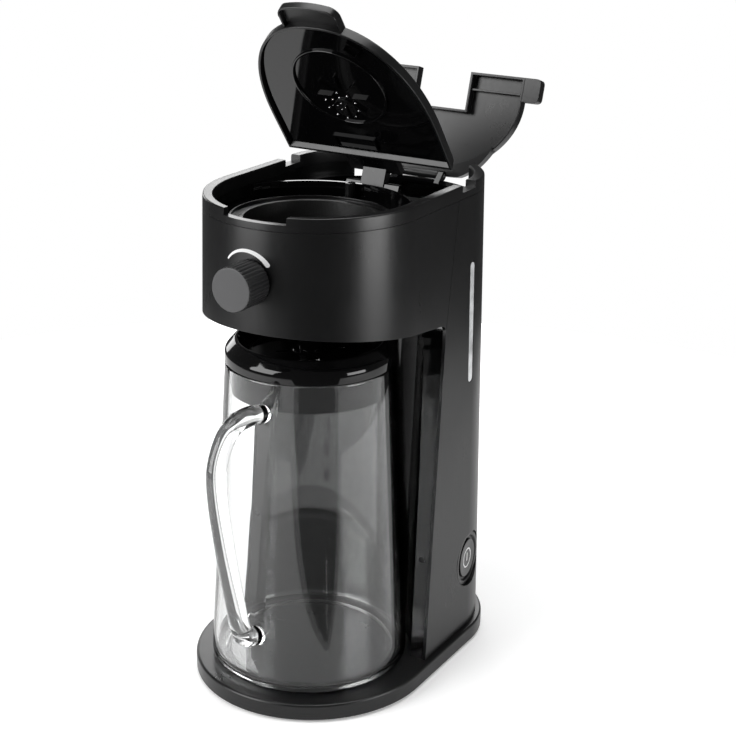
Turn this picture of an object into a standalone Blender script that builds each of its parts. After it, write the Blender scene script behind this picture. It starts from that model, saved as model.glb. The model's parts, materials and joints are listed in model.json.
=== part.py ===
"""An iced tea maker: a glass jug on a low base, a tank column, a brewing head and two hinged lids.

Metres, +Z up. The front faces -Y. Pieces are laid out from the centre of the head's round front and
hang from one root empty, which sets the origin under the middle of the whole object.
"""

import math

import bmesh
import bpy
from mathutils import Vector
from mathutils.geometry import interpolate_bezier

# Clearances and cutters
FIT_GAP = 0.0003
OVERRUN = 0.004
JOIN_OVERLAP = 0.0008

# Body outline at the rim: half an ellipse in front, straight sides, half an ellipse behind
RIM_TOP_Z = 0.366
BODY_HALF_WIDTH = 0.078
BODY_FRONT_DEPTH = 0.0814
BODY_SIDE_LENGTH = 0.087
BODY_REAR_DEPTH = 0.066
BODY_DRAFT_SHARE = 0.018
SHELL_WALL = 0.0025

# Seam between the head with its column panel in front and the housing behind
SEAM_SETBACK = 0.0281
SEAM_BEND_Z = 0.264
SEAM_LOWER_LEAN_SHARE = 0.1007
SEAM_UPPER_LEAN_SHARE = 0.185

# Feet, base and its screws
FOOT_HEIGHT = 0.0017
FOOT_RADIUS = 0.009
FOOT_PLUG_RADIUS = 0.003
FOOT_FRONT_INSET = 0.0334
FOOT_REAR_SETBACK = 0.025
FOOT_SIDE_INSET = 0.02
BASE_HEIGHT = 0.012
BASE_OVERHANG = 0.0045
BASE_WALL = 0.003
BASE_EDGE = 0.001
BASE_PLATE_THICKNESS = 0.002
SCREW_HEAD_RADIUS = 0.0032
SCREW_HEAD_HEIGHT = 0.0012
SCREW_RADIUS = 0.001
SCREW_LENGTH = 0.0075
SCREW_BOSS_RADIUS = 0.0035
BASE_SCREW_INSET = 0.004
BASE_SCREW_FRONT_Y = 0.02
BASE_SCREW_REAR_INSET = 0.003
JUG_SEAT_INSET = 0.0055
JUG_SEAT_WIDTH = 0.0035
JUG_SEAT_HEIGHT = 0.0017

# Head shell and the sloping panel under it
HEAD_FRONT_BOTTOM_Z = 0.285
HEAD_BOTTOM_FALL_SHARE = 0.122
HEAD_FILLET_RADIUS = 0.007
UNDERSIDE_RECESS = 0.001
UNDERSIDE_THICKNESS = 0.002
UNDERSIDE_HOLE_RADIUS = 0.02

# Jug and brewing share one vertical axis, behind the head's front
BREW_SETBACK = 0.0729

# Glossy column panel behind the jug
COLUMN_SIDE_MARGIN = 0.0012
COLUMN_FLARE_SHARE = 0.02
COLUMN_PANEL_THICKNESS = 0.002
COLUMN_SCREW_INSET = 0.0035
COLUMN_SCREW_Z = 0.0915
COLUMN_SCREW_HEAD_RADIUS = 0.0022

# Rim ring on top of the shells
RING_HEIGHT = 0.0096
RING_SIDE_WIDTH = 0.008
RING_FRONT_WIDTH = 0.005
RING_REAR_WIDTH = 0.0075
RING_EDGE = 0.0006
RING_TAB_RECESS_HALF_WIDTH = 0.0246
RING_TAB_RECESS_DEPTH = 0.005
REAR_NOTCH_HALF_WIDTH = 0.052

# Deck with the wall round the brew opening and the tank mouth
DECK_DEPTH = 0.02
DECK_THICKNESS = 0.003
BREW_HOLE_SIDE_ROOM = 0.0265
BREW_HOLE_FRONT_ROOM = 0.0214
CHAMBER_WALL_INSET = 0.009
CHAMBER_WALL_THICKNESS = 0.002
CHAMBER_WALL_HEIGHT = 0.012
CHAMBER_WALL_START_Y = 0.016
TANK_MOUTH_INSET = 0.013
TANK_MOUTH_SETBACK = 0.013

# Brew well under the deck
WELL_WALL = 0.0018
WELL_FLANGE_WIDTH = 0.0045
WELL_BOTTOM_Z = 0.2865
WELL_TAPER = 0.0025
WELL_HOLE_RADIUS = 0.017

# Front lid and its hinge
FRONT_HINGE_SETBACK = 0.0145
FRONT_HINGE_RISE = 0.007
FRONT_LID_OPEN_ANGLE = 52.1
HINGE_BARREL_RADIUS = 0.004
HINGE_PIN_RADIUS = 0.0015
FRONT_KNUCKLE_OUTER_X = 0.022
FRONT_KNUCKLE_INNER_X = 0.0101
FRONT_LID_KNUCKLE_X = 0.0095
FRONT_LID_SIDE_LENGTH = 0.033
FRONT_LID_NOSE_SHARE = 2.25
LID_RIM_CLEARANCE = 0.002
LID_NOSE_CLEARANCE = 0.0009
FRONT_LID_LIFT = 0.007
FRONT_LID_HEIGHT = 0.008
LID_WALL = 0.002
LID_EDGE = 0.0008
LID_TAB_HALF_WIDTH = 0.0228
LID_TAB_REACH = 0.0105
LID_TAB_THICKNESS = 0.0022
LID_TAB_LIP = 0.0018
LINER_DEPTH = 0.003
LINER_THICKNESS = 0.0022
LINER_RIDGE_RADIUS = 0.036
LINER_RIDGE_WIDTH = 0.002
LINER_RIDGE_HEIGHT = 0.0016
LINER_RIDGE_SETBACK = 0.0704
LINER_RIB_INNER = 0.008
LINER_RIB_OUTER = 0.02
LINER_RIB_WIDTH = 0.0012
LINER_RIB_SETBACK = 0.0624
INLET_BOX_LEFT_X = -0.024
INLET_BOX_RIGHT_X = 0.011
INLET_BOX_DEPTH = 0.0194
INLET_BOX_WALL = 0.0014
SHOWER_RADIUS = 0.0085
SHOWER_THICKNESS = 0.001
SHOWER_HOLE_RADIUS = 0.0008
SHOWER_SETBACK = 0.0504
SHOWER_X = -0.002

# Tank lid and its hinge
TANK_HINGE_INSET = 0.0044
TANK_HINGE_RISE = 0.004
TANK_LID_OPEN_ANGLE = 107.0
LID_SWING_CLEARANCE = 0.0004
TANK_LID_SETBACK = 0.0096
TANK_LID_LIFT = 0.011
TANK_LID_HEIGHT = 0.009
TANK_LID_NOTCH_HALF_WIDTH = 0.0225
TANK_LID_NOTCH_DEPTH = 0.029
TANK_LID_RIB_SETBACK = 0.012
TANK_LID_RIB_WIDTH = 0.0015
TANK_LID_TAB_LENGTH = 0.018
TANK_LID_TAB_REACH = 0.0032
TANK_EAR_INNER_X = 0.016
TANK_EAR_WIDTH = 0.004
TANK_BARREL_RADIUS = 0.0034

# Tank in the rear column
TANK_BOTTOM_Z = 0.11
TANK_INSET = 0.006
TANK_WALL = 0.002
TANK_FRONT_CLEARANCE = 0.0059
TANK_OUTLET_X = 0.03
TANK_OUTLET_SETBACK = 0.016
TANK_OUTLET_RADIUS = 0.004
TANK_OUTLET_BORE = 0.0022
TANK_OUTLET_LENGTH = 0.01

# Level window
WINDOW_INSET = 0.0025
WINDOW_HALF_WIDTH = 0.0035
WINDOW_LOW_DROP = 0.151
WINDOW_HIGH_DROP = 0.059
WINDOW_SETBACK = 0.0002
WINDOW_DEPTH = 0.001

# Strength dial on the head
DIAL_Z = 0.3207
DIAL_RADIUS = 0.0153
DIAL_LENGTH = 0.0225
DIAL_RIB_DEPTH = 0.0005
DIAL_EDGE = 0.0008
SPINDLE_RADIUS = 0.003
SPINDLE_INTO_DIAL = 0.014
SPINDLE_BACK = 0.0125
BUSH_RADIUS = 0.0055
BUSH_FLANGE_RADIUS = 0.0085
BUSH_FLANGE_THICKNESS = 0.002
SELECTOR_RADIUS = 0.012
SELECTOR_THICKNESS = 0.003

# Power button low on the right side
POWER_SETBACK = 0.003
POWER_Z = 0.069
POWER_RECESS = 0.0021
POWER_TILT = 6.5
BEZEL_RADIUS = 0.0215
BEZEL_DEPTH = 0.003
BEZEL_COLLAR = 0.0016
BEZEL_COLLAR_LENGTH = 0.016
BUTTON_RADIUS = 0.015
BUTTON_THICKNESS = 0.005
BUTTON_TRAVEL = 0.0025
SWITCH_LENGTH = 0.012
SWITCH_PLUNGER_RADIUS = 0.004
SWITCH_PLUNGER_LENGTH = 0.0006

# Glass jug and its handle
JUG_HEIGHT = 0.23
JUG_SIDE_CLEARANCE = 0.0038
JUG_TAPER = 0.0123
JUG_WALL = 0.003
JUG_FLOOR = 0.004
JUG_CORNER = 0.006
HANDLE_RADIUS = 0.007
HANDLE_STANDOFF = 0.0435
HANDLE_TOP_Z = 0.227
HANDLE_BOTTOM_Z = 0.06
HANDLE_SHARES = (
    (0.69, 1.0), (0.845, 0.988), (0.957, 0.91), (1.0, 0.802), (0.9365, 0.515), (0.825, 0.195),
    (0.745, 0.03),
)

# Jug lid
JUG_LID_SKIRT_LENGTH = 0.021
JUG_LID_WALL = 0.002
JUG_LID_FLANGE_HEIGHT = 0.008
JUG_LID_RISE = 0.016
JUG_LID_SHOULDER_WIDTH = 0.007
JUG_LID_DISH_DEPTH = 0.01
JUG_LID_DISH_SLOPE = 0.008
JUG_LID_COLLAR_RADIUS = 0.013
JUG_LID_BOSS_RADIUS = 0.008
JUG_LID_SLOT_WIDTH = 0.003
JUG_LID_SLOT_LENGTH = 0.009

# Brew basket, filter and drip valve
BASKET_RIM_LAP = 0.0055
BASKET_RIM_HEIGHT = 0.004
BASKET_WALL = 0.0016
BASKET_SIDE_CLEARANCE = 0.0018
BASKET_BOTTOM_CLEARANCE = 0.0022
BASKET_TAPER = 0.0035
NOZZLE_RADIUS = 0.012
NOZZLE_BOTTOM_Z = 0.267
NOZZLE_INLET_RADIUS = 0.006
VALVE_SEAT_RADIUS = 0.0045
FILTER_WALL = 0.0007
FILTER_FLANGE = 0.0026
SEAL_RADIUS = 0.0092
SEAL_THICKNESS = 0.002
STEM_RADIUS = 0.0016
STEM_TOP_REACH = 0.012
STEM_TIP_CLEARANCE = 0.0003
SPRING_RADIUS = 0.0076
SPRING_WIRE_RADIUS = 0.0005
SPRING_TURNS = 5

# Heater, hoses and wiring under the tank
BOILER_RADIUS = 0.007
BOILER_BEND_RADIUS = 0.022
BOILER_CLEARANCE = 0.0037
BOILER_Z = 0.04
BOILER_REAR_ROOM = 0.025
BRACKET_HALF_WIDTH = 0.0055
BRACKET_LENGTH = 0.012
BRACKET_SETBACK = 0.011
THERMOSTAT_RADIUS = 0.008
THERMOSTAT_HEIGHT = 0.008
FUSE_RADIUS = 0.002
FUSE_LENGTH = 0.012
FUSE_SETBACK = 0.013
CHECK_VALVE_RADIUS = 0.006
CHECK_VALVE_LENGTH = 0.02
HOSE_RADIUS = 0.0035
HOSE_RISER_INSET = 0.016
HOSE_RISER_CLEARANCE = 0.0122
HOSE_UNDER_DECK = 0.0095
SPOUT_X = -0.007
SPOUT_OUTSET = 0.012
SPOUT_RADIUS = 0.0038
SPOUT_BORE = 0.0022
SPOUT_HEIGHT = 0.0135
SPOUT_FLANGE = 0.001
SPOUT_TAIL = 0.005
TERMINAL_LENGTH = 0.02
TERMINAL_WIDTH = 0.012
TERMINAL_HEIGHT = 0.012
TERMINAL_X = -0.04
TERMINAL_SETBACK = 0.008
LEAD_RADIUS = 0.0012
LEAD_HOSE_CLEARANCE = 0.002
GLAND_Z = 0.03
GLAND_RADIUS = 0.0047
GLAND_FLANGE_RADIUS = 0.0068
GLAND_FLANGE_THICKNESS = 0.002
GLAND_BORE = 0.003

# Smoothness of round forms
FRONT_STEPS = 24
REAR_STEPS = 20
ROUND_STEPS = 44
PIECE_STEPS = 32
SMALL_STEPS = 14
DIAL_RIBS = 32
FILLET_STEPS = 5

# Places and radii that follow from the body's sizes
BREW_Y = BREW_SETBACK - BODY_FRONT_DEPTH
SEAM_FOOT_Y = BREW_Y + SEAM_SETBACK
COLUMN_RADIUS = BODY_HALF_WIDTH - COLUMN_SIDE_MARGIN
COLUMN_SCREW_X = BODY_HALF_WIDTH - COLUMN_SCREW_INSET
JUG_FOOT_RADIUS = COLUMN_RADIUS - JUG_SIDE_CLEARANCE
JUG_RIM_RADIUS = JUG_FOOT_RADIUS - JUG_TAPER
JUG_SEAT_RADIUS = JUG_FOOT_RADIUS - JUG_SEAT_INSET
HANDLE_REACH = JUG_FOOT_RADIUS + HANDLE_STANDOFF
DECK_HOLE_RADIUS = min(BODY_HALF_WIDTH - BREW_HOLE_SIDE_ROOM, BREW_SETBACK - BREW_HOLE_FRONT_ROOM)
BASKET_RIM_RADIUS = DECK_HOLE_RADIUS + BASKET_RIM_LAP
CHAMBER_WALL_RADIUS = BODY_HALF_WIDTH - CHAMBER_WALL_INSET
FOOT_FRONT_Y = FOOT_FRONT_INSET - BODY_FRONT_DEPTH
FOOT_REAR_Y = BODY_SIDE_LENGTH + FOOT_REAR_SETBACK
FOOT_SPREAD = BODY_HALF_WIDTH - FOOT_SIDE_INSET
BASE_SCREW_SPREAD = BODY_HALF_WIDTH - BASE_SCREW_INSET
BASE_SCREW_REAR_Y = BODY_SIDE_LENGTH - BASE_SCREW_REAR_INSET
WINDOW_Y = BODY_SIDE_LENGTH - WINDOW_INSET
POWER_Y = BODY_SIDE_LENGTH + POWER_SETBACK
WINDOW_LOW_Z = RIM_TOP_Z - WINDOW_LOW_DROP
WINDOW_HIGH_Z = RIM_TOP_Z - WINDOW_HIGH_DROP

# Levels that follow from the sizes above
BASE_BOTTOM_Z = FOOT_HEIGHT + FIT_GAP
BASE_TOP_Z = BASE_BOTTOM_Z + BASE_HEIGHT
SHELL_BOTTOM_Z = BASE_TOP_Z + FIT_GAP
RING_BOTTOM_Z = RIM_TOP_Z - RING_HEIGHT
SHELL_TOP_Z = RING_BOTTOM_Z - FIT_GAP
DECK_TOP_Z = RIM_TOP_Z - DECK_DEPTH
DECK_BOTTOM_Z = DECK_TOP_Z - DECK_THICKNESS
REAR_NOTCH_Z = DECK_TOP_Z - JOIN_OVERLAP
TAB_RECESS_Z = RIM_TOP_Z - RING_TAB_RECESS_DEPTH
JUG_BOTTOM_Z = BASE_TOP_Z + JUG_SEAT_HEIGHT + FIT_GAP
JUG_TOP_Z = JUG_BOTTOM_Z + JUG_HEIGHT
JUG_LID_TOP_Z = JUG_TOP_Z + JUG_LID_RISE + FIT_GAP
FRONT_HINGE_Y = BREW_Y + CHAMBER_WALL_RADIUS + CHAMBER_WALL_THICKNESS + FRONT_HINGE_SETBACK
FRONT_HINGE_Z = DECK_TOP_Z + FRONT_HINGE_RISE
TANK_HINGE_Y = BODY_SIDE_LENGTH + BODY_REAR_DEPTH - TANK_HINGE_INSET
TANK_HINGE_Z = DECK_TOP_Z + TANK_HINGE_RISE
TANK_LID_FRONT_Y = FRONT_HINGE_Y - TANK_LID_SETBACK
TANK_MOUTH_FRONT_Y = FRONT_HINGE_Y + TANK_MOUTH_SETBACK
SPOUT_Y = BREW_Y + DECK_HOLE_RADIUS + SPOUT_OUTSET
COLUMN_BACK_Y = BREW_Y + COLUMN_RADIUS + COLUMN_PANEL_THICKNESS
TANK_FRONT_Y = COLUMN_BACK_Y + TANK_FRONT_CLEARANCE
BOILER_BEND_Y = COLUMN_BACK_Y + BOILER_CLEARANCE + BOILER_RADIUS + BOILER_BEND_RADIUS
BOILER_END_Y = BODY_SIDE_LENGTH + BODY_REAR_DEPTH - BOILER_REAR_ROOM
BRACKET_Y = BOILER_BEND_Y + BRACKET_SETBACK
TANK_OUTLET_Y = BOILER_END_Y - TANK_OUTLET_SETBACK
TERMINAL_Y = BOILER_END_Y - TERMINAL_SETBACK
HOSE_RISER_X = BODY_HALF_WIDTH - HOSE_RISER_INSET
HOSE_RISER_Y = TANK_FRONT_Y - HOSE_RISER_CLEARANCE
PIN_BORE_RADIUS = HINGE_PIN_RADIUS + FIT_GAP


def clear_scene():
    """Removes every object of the startup scene."""
    for old in list(bpy.data.objects):
        bpy.data.objects.remove(old, do_unlink=True)


def make_finish(name, colour, roughness, metallic=0.0, transmission=0.0):
    """A Principled material; colour is linear red, green and blue."""
    finish = bpy.data.materials.new(name)
    finish.use_nodes = True
    shader = finish.node_tree.nodes["Principled BSDF"]
    shader.inputs["Base Color"].default_value = (*colour, 1.0)
    shader.inputs["Roughness"].default_value = roughness
    shader.inputs["Metallic"].default_value = metallic
    shader.inputs["Transmission Weight"].default_value = transmission
    finish.diffuse_color = (*colour, 1.0)
    return finish


def place(name, points, faces, finish, parent, at=(0, 0, 0), turn=(0, 0, 0)):
    """Makes one object from points and faces, with its faces turned outwards, and returns it."""
    mesh = bpy.data.meshes.new(name)
    mesh.from_pydata([tuple(point) for point in points], [], faces)
    work = bmesh.new()
    work.from_mesh(mesh)
    bmesh.ops.recalc_face_normals(work, faces=work.faces)
    work.to_mesh(mesh)
    work.free()
    mesh.shade_smooth()
    mesh.set_sharp_from_angle(angle=math.radians(32))
    made = bpy.data.objects.new(name, mesh)
    bpy.context.scene.collection.objects.link(made)
    made.parent = parent
    made.location = at
    made.rotation_euler = turn
    if finish is not None:
        mesh.materials.append(finish)
    return made


def skin(name, rings, finish, parent, looped=False, at=(0, 0, 0), turn=(0, 0, 0)):
    """Joins rings of equally many points into a closed solid, with end caps unless it loops."""
    count = len(rings[0])
    points = [point for ring in rings for point in ring]
    pairs = [(row, row + 1) for row in range(len(rings) - 1)]
    if looped:
        pairs.append((len(rings) - 1, 0))
    faces = []
    for lower, upper in pairs:
        for step in range(count):
            after = (step + 1) % count
            faces.append(
                (lower * count + step, lower * count + after, upper * count + after, upper * count + step)
            )
    if not looped:
        last = (len(rings) - 1) * count
        faces.append(tuple(reversed(range(count))))
        faces.append(tuple(range(last, last + count)))
    return place(name, points, faces, finish, parent, at, turn)


def lathe(name, profile, finish, parent, at=(0, 0, 0), turn=(0, 0, 0), steps=PIECE_STEPS, looped=False):
    """Turns (radius, height) points about the local Z axis; a zero radius is a point on the axis."""
    points = []
    rows = []
    for radius, height in profile:
        if radius == 0:
            rows.append([len(points)] * steps)
            points.append((0, 0, height))
            continue
        rows.append([len(points) + step for step in range(steps)])
        for step in range(steps):
            angle = math.tau * step / steps
            points.append((radius * math.cos(angle), radius * math.sin(angle), height))
    pairs = list(zip(rows, rows[1:]))
    if looped:
        pairs.append((rows[-1], rows[0]))
    faces = []
    for lower, upper in pairs:
        for step in range(steps):
            after = (step + 1) % steps
            corners = dict.fromkeys((lower[step], lower[after], upper[after], upper[step]))
            if len(corners) > 2:
                faces.append(tuple(corners))
    if not looped:
        faces += [tuple(row) for row in (rows[0], rows[-1]) if len(set(row)) > 1]
    return place(name, points, faces, finish, parent, at, turn)


def disc(name, radius, low, high, finish, parent, at=(0, 0, 0), turn=(0, 0, 0), steps=SMALL_STEPS):
    """A plain cylinder about the local Z axis."""
    return lathe(name, [(radius, low), (radius, high)], finish, parent, at, turn, steps)


def slab(name, outline, low, high, finish, parent, at=(0, 0, 0), turn=(0, 0, 0)):
    """A plan outline of (x, y) points between two heights."""
    rings = [[(x, y, height) for x, y in outline] for height in (low, high)]
    return skin(name, rings, finish, parent, at=at, turn=turn)


def bar(name, outline, left, right, finish, parent, at=(0, 0, 0), turn=(0, 0, 0)):
    """A side outline of (y, z) points between two places along X."""
    rings = [[(across, y, z) for y, z in outline] for across in (left, right)]
    return skin(name, rings, finish, parent, at=at, turn=turn)


def block(name, low, high, finish, parent, at=(0, 0, 0), turn=(0, 0, 0)):
    """A box between two corners."""
    outline = [(low[0], low[1]), (high[0], low[1]), (high[0], high[1]), (low[0], high[1])]
    return slab(name, outline, low[2], high[2], finish, parent, at, turn)


def smooth_path(route, steps):
    """A smooth curve through the points of a route, which starts and ends square to what it meets."""
    knots = [Vector(point) for point in route]
    before = [knots[0], *knots[:-1]]
    after = [*knots[1:], knots[-1]]
    ways = [(ahead - behind).normalized() for behind, ahead in zip(before, after)]
    path = [knots[0], knots[0] + (knots[1] - knots[0]) / (4 * steps)]
    for start, end, start_way, end_way in zip(knots, knots[1:], ways, ways[1:]):
        reach = (end - start).length / 3
        path += interpolate_bezier(
            start, start + start_way * reach, end - end_way * reach, end, steps + 1,
        )[1:]
    return [*path[:-1], knots[-1] + (knots[-2] - knots[-1]) / (4 * steps), knots[-1]]


def sweep(name, path, radius, finish, parent, steps=8, at=(0, 0, 0)):
    """A round rod or hose along a path, with flat ends."""
    rings = []
    side = None
    for index, point in enumerate(path):
        ahead = (path[min(index + 1, len(path) - 1)] - path[max(index - 1, 0)]).normalized()
        if side is None:
            side = ahead.orthogonal().normalized()
        side = (side - ahead * side.dot(ahead)).normalized()
        up = ahead.cross(side)
        angles = [math.tau * step / steps for step in range(steps)]
        rings.append([point + radius * (math.cos(angle) * side + math.sin(angle) * up) for angle in angles])
    return skin(name, rings, finish, parent, at=at)


def combine(target, tool, operation):
    """Cuts, joins or intersects a target with a tool, which then stays as a hidden guide."""
    modifier = target.modifiers.new(tool.name, "BOOLEAN")
    modifier.object = tool
    modifier.operation = operation
    modifier.solver = "EXACT"
    tool.hide_render = True
    tool.display_type = "WIRE"


def cut(target, *tools):
    """Takes the tools away from the target."""
    for tool in tools:
        combine(target, tool, "DIFFERENCE")


def join(target, *tools):
    """Adds the tools to the target."""
    for tool in tools:
        combine(target, tool, "UNION")


def empty(name, parent, at=(0, 0, 0), turn=(0, 0, 0)):
    """An empty that carries pieces, such as a joint's axis."""
    made = bpy.data.objects.new(name, None)
    bpy.context.scene.collection.objects.link(made)
    made.parent = parent
    made.location = at
    made.rotation_euler = turn
    return made


def arc(centre, radii, start, end, steps):
    """Points of an elliptic arc from a start to an end angle in degrees, both ends included."""
    angles = [math.radians(start + (end - start) * step / steps) for step in range(steps + 1)]
    return [
        (centre[0] + radii[0] * math.cos(angle), centre[1] + radii[1] * math.sin(angle))
        for angle in angles
    ]


def plan(half_width, front_depth, rear_depth):
    """The body's plan form: two half ellipses joined by the straight sides."""
    front = arc((0, 0), (half_width, front_depth), 180, 360, FRONT_STEPS)
    rear = arc((0, BODY_SIDE_LENGTH), (half_width, rear_depth), 0, 180, REAR_STEPS)
    return front + rear


def body_outline(height, inset=0.0, plan_height=None):
    """The body's ring of points at a height, set in from its outer surface."""
    grow = BODY_DRAFT_SHARE * (RIM_TOP_Z - (height if plan_height is None else plan_height)) - inset
    outline = plan(BODY_HALF_WIDTH + grow, BODY_FRONT_DEPTH + grow, BODY_REAR_DEPTH + grow)
    return [(x, y, height) for x, y in outline]


def body_half_width(height):
    """Half the body's width at a height."""
    return BODY_HALF_WIDTH + BODY_DRAFT_SHARE * (RIM_TOP_Z - height)


def side_x(y, height):
    """Where the body's right surface lies at a depth behind the straight side's start."""
    past = max(y - BODY_SIDE_LENGTH, 0) / (BODY_REAR_DEPTH + BODY_DRAFT_SHARE * (RIM_TOP_Z - height))
    return body_half_width(height) * math.sqrt(1 - past * past)


def seam_y(height):
    """The seam's depth at a height, in its two straight stretches."""
    lower = min(height, SEAM_BEND_Z) - BASE_TOP_Z
    upper = max(height - SEAM_BEND_Z, 0)
    return SEAM_FOOT_Y + SEAM_LOWER_LEAN_SHARE * lower + SEAM_UPPER_LEAN_SHARE * upper


def underside_z(y):
    """The height of the head's lower edge at a depth."""
    return HEAD_FRONT_BOTTOM_Z - HEAD_BOTTOM_FALL_SHARE * (y + BODY_FRONT_DEPTH)


def column_radius(height):
    """The radius of the hollow that the column panel leaves for the jug."""
    return COLUMN_RADIUS + COLUMN_FLARE_SHARE * (height - BASE_TOP_Z)


def jug_radius(height):
    """The jug's outer radius at a height."""
    share = (height - JUG_BOTTOM_Z) / JUG_HEIGHT
    return JUG_FOOT_RADIUS + (JUG_RIM_RADIUS - JUG_FOOT_RADIUS) * share


def foot_places():
    """The (x, y) places of the four feet."""
    return [(side * FOOT_SPREAD, y) for y in (FOOT_FRONT_Y, FOOT_REAR_Y) for side in (-1, 1)]


def base_screw_places():
    """The (x, y) places of the four base screws."""
    return [
        (side * BASE_SCREW_SPREAD, y)
        for y in (BASE_SCREW_FRONT_Y, BASE_SCREW_REAR_Y)
        for side in (-1, 1)
    ]


def base_outline(height, inset=0.0):
    """The base's ring of points: the body's foot outline with an overhang."""
    return body_outline(height, inset - BASE_OVERHANG, SHELL_BOTTOM_Z)


def build_base(root, finishes):
    """The base tray with its jug seat, the plate under it, the feet and the screws."""
    ceiling = BASE_TOP_Z - BASE_WALL
    tray = skin(
        "base_tray",
        [
            base_outline(ceiling, BASE_WALL),
            base_outline(BASE_BOTTOM_Z, BASE_WALL),
            base_outline(BASE_BOTTOM_Z),
            base_outline(BASE_TOP_Z - BASE_EDGE),
            base_outline(BASE_TOP_Z, BASE_EDGE),
        ],
        finishes["satin"], root,
    )
    seat_inner = JUG_SEAT_RADIUS - JUG_SEAT_WIDTH
    seat_top = BASE_TOP_Z + JUG_SEAT_HEIGHT
    seat_profile = [
        (seat_inner, BASE_TOP_Z - JOIN_OVERLAP), (JUG_SEAT_RADIUS, BASE_TOP_Z - JOIN_OVERLAP),
        (JUG_SEAT_RADIUS, seat_top), (seat_inner, seat_top),
    ]
    join(
        tray,
        lathe("jug_seat_guide", seat_profile, None, root, (0, BREW_Y, 0), steps=ROUND_STEPS, looped=True),
    )
    plate = skin(
        "base_bottom_plate",
        [base_outline(z, BASE_WALL + FIT_GAP) for z in (BASE_BOTTOM_Z, BASE_BOTTOM_Z + BASE_PLATE_THICKNESS)],
        finishes["satin"], root,
    )
    boss_bottom = BASE_BOTTOM_Z + BASE_PLATE_THICKNESS + FIT_GAP
    screw_top = FOOT_HEIGHT + SCREW_LENGTH
    for number, (x, y) in enumerate(base_screw_places(), 1):
        boss = disc(
            f"boss_guide_{number}", SCREW_BOSS_RADIUS, boss_bottom, ceiling + JOIN_OVERLAP, None, root,
            (x, y, 0),
        )
        pilot = disc(
            f"pilot_guide_{number}", SCREW_RADIUS + FIT_GAP, 0, screw_top + FIT_GAP, None, root, (x, y, 0),
        )
        join(tray, boss)
        cut(tray, pilot)
        cut(plate, pilot)
        head_low = FOOT_HEIGHT - SCREW_HEAD_HEIGHT
        profile = [
            (0, head_low), (SCREW_HEAD_RADIUS, head_low), (SCREW_HEAD_RADIUS, FOOT_HEIGHT),
            (SCREW_RADIUS, FOOT_HEIGHT), (SCREW_RADIUS, screw_top), (0, screw_top),
        ]
        lathe(f"base_screw_{number}", profile, finishes["steel"], root, (x, y, 0), steps=SMALL_STEPS)
    plug_top = BASE_BOTTOM_Z + BASE_PLATE_THICKNESS
    for number, (x, y) in enumerate(foot_places(), 1):
        hole = disc(
            f"foot_hole_guide_{number}", FOOT_PLUG_RADIUS + FIT_GAP, 0, plug_top + OVERRUN, None, root,
            (x, y, 0),
        )
        cut(plate, hole)
        profile = [
            (0, 0), (FOOT_RADIUS, 0), (FOOT_RADIUS, FOOT_HEIGHT), (FOOT_PLUG_RADIUS, FOOT_HEIGHT),
            (FOOT_PLUG_RADIUS, plug_top), (0, plug_top),
        ]
        lathe(
            f"foot_{number}", profile, finishes["rubber"], root, (x, y, 0),
            steps=SMALL_STEPS + SMALL_STEPS // 2,
        )


def shell_tube(name, low, high, finish, root, outer_inset=0.0, inner_inset=SHELL_WALL):
    """A wall that follows the body's outline between two heights."""
    rings = [
        body_outline(low, outer_inset), body_outline(high, outer_inset),
        body_outline(high, inner_inset), body_outline(low, inner_inset),
    ]
    return skin(name, rings, finish, root, looped=True)


def slot_outline(half_width, low, high, centre):
    """The (y, z) outline of an upright slot with round ends."""
    upper = arc((centre, high - half_width), (half_width, half_width), 0, 180, SMALL_STEPS // 2)
    lower = arc((centre, low + half_width), (half_width, half_width), 180, 360, SMALL_STEPS // 2)
    return upper + lower


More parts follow.
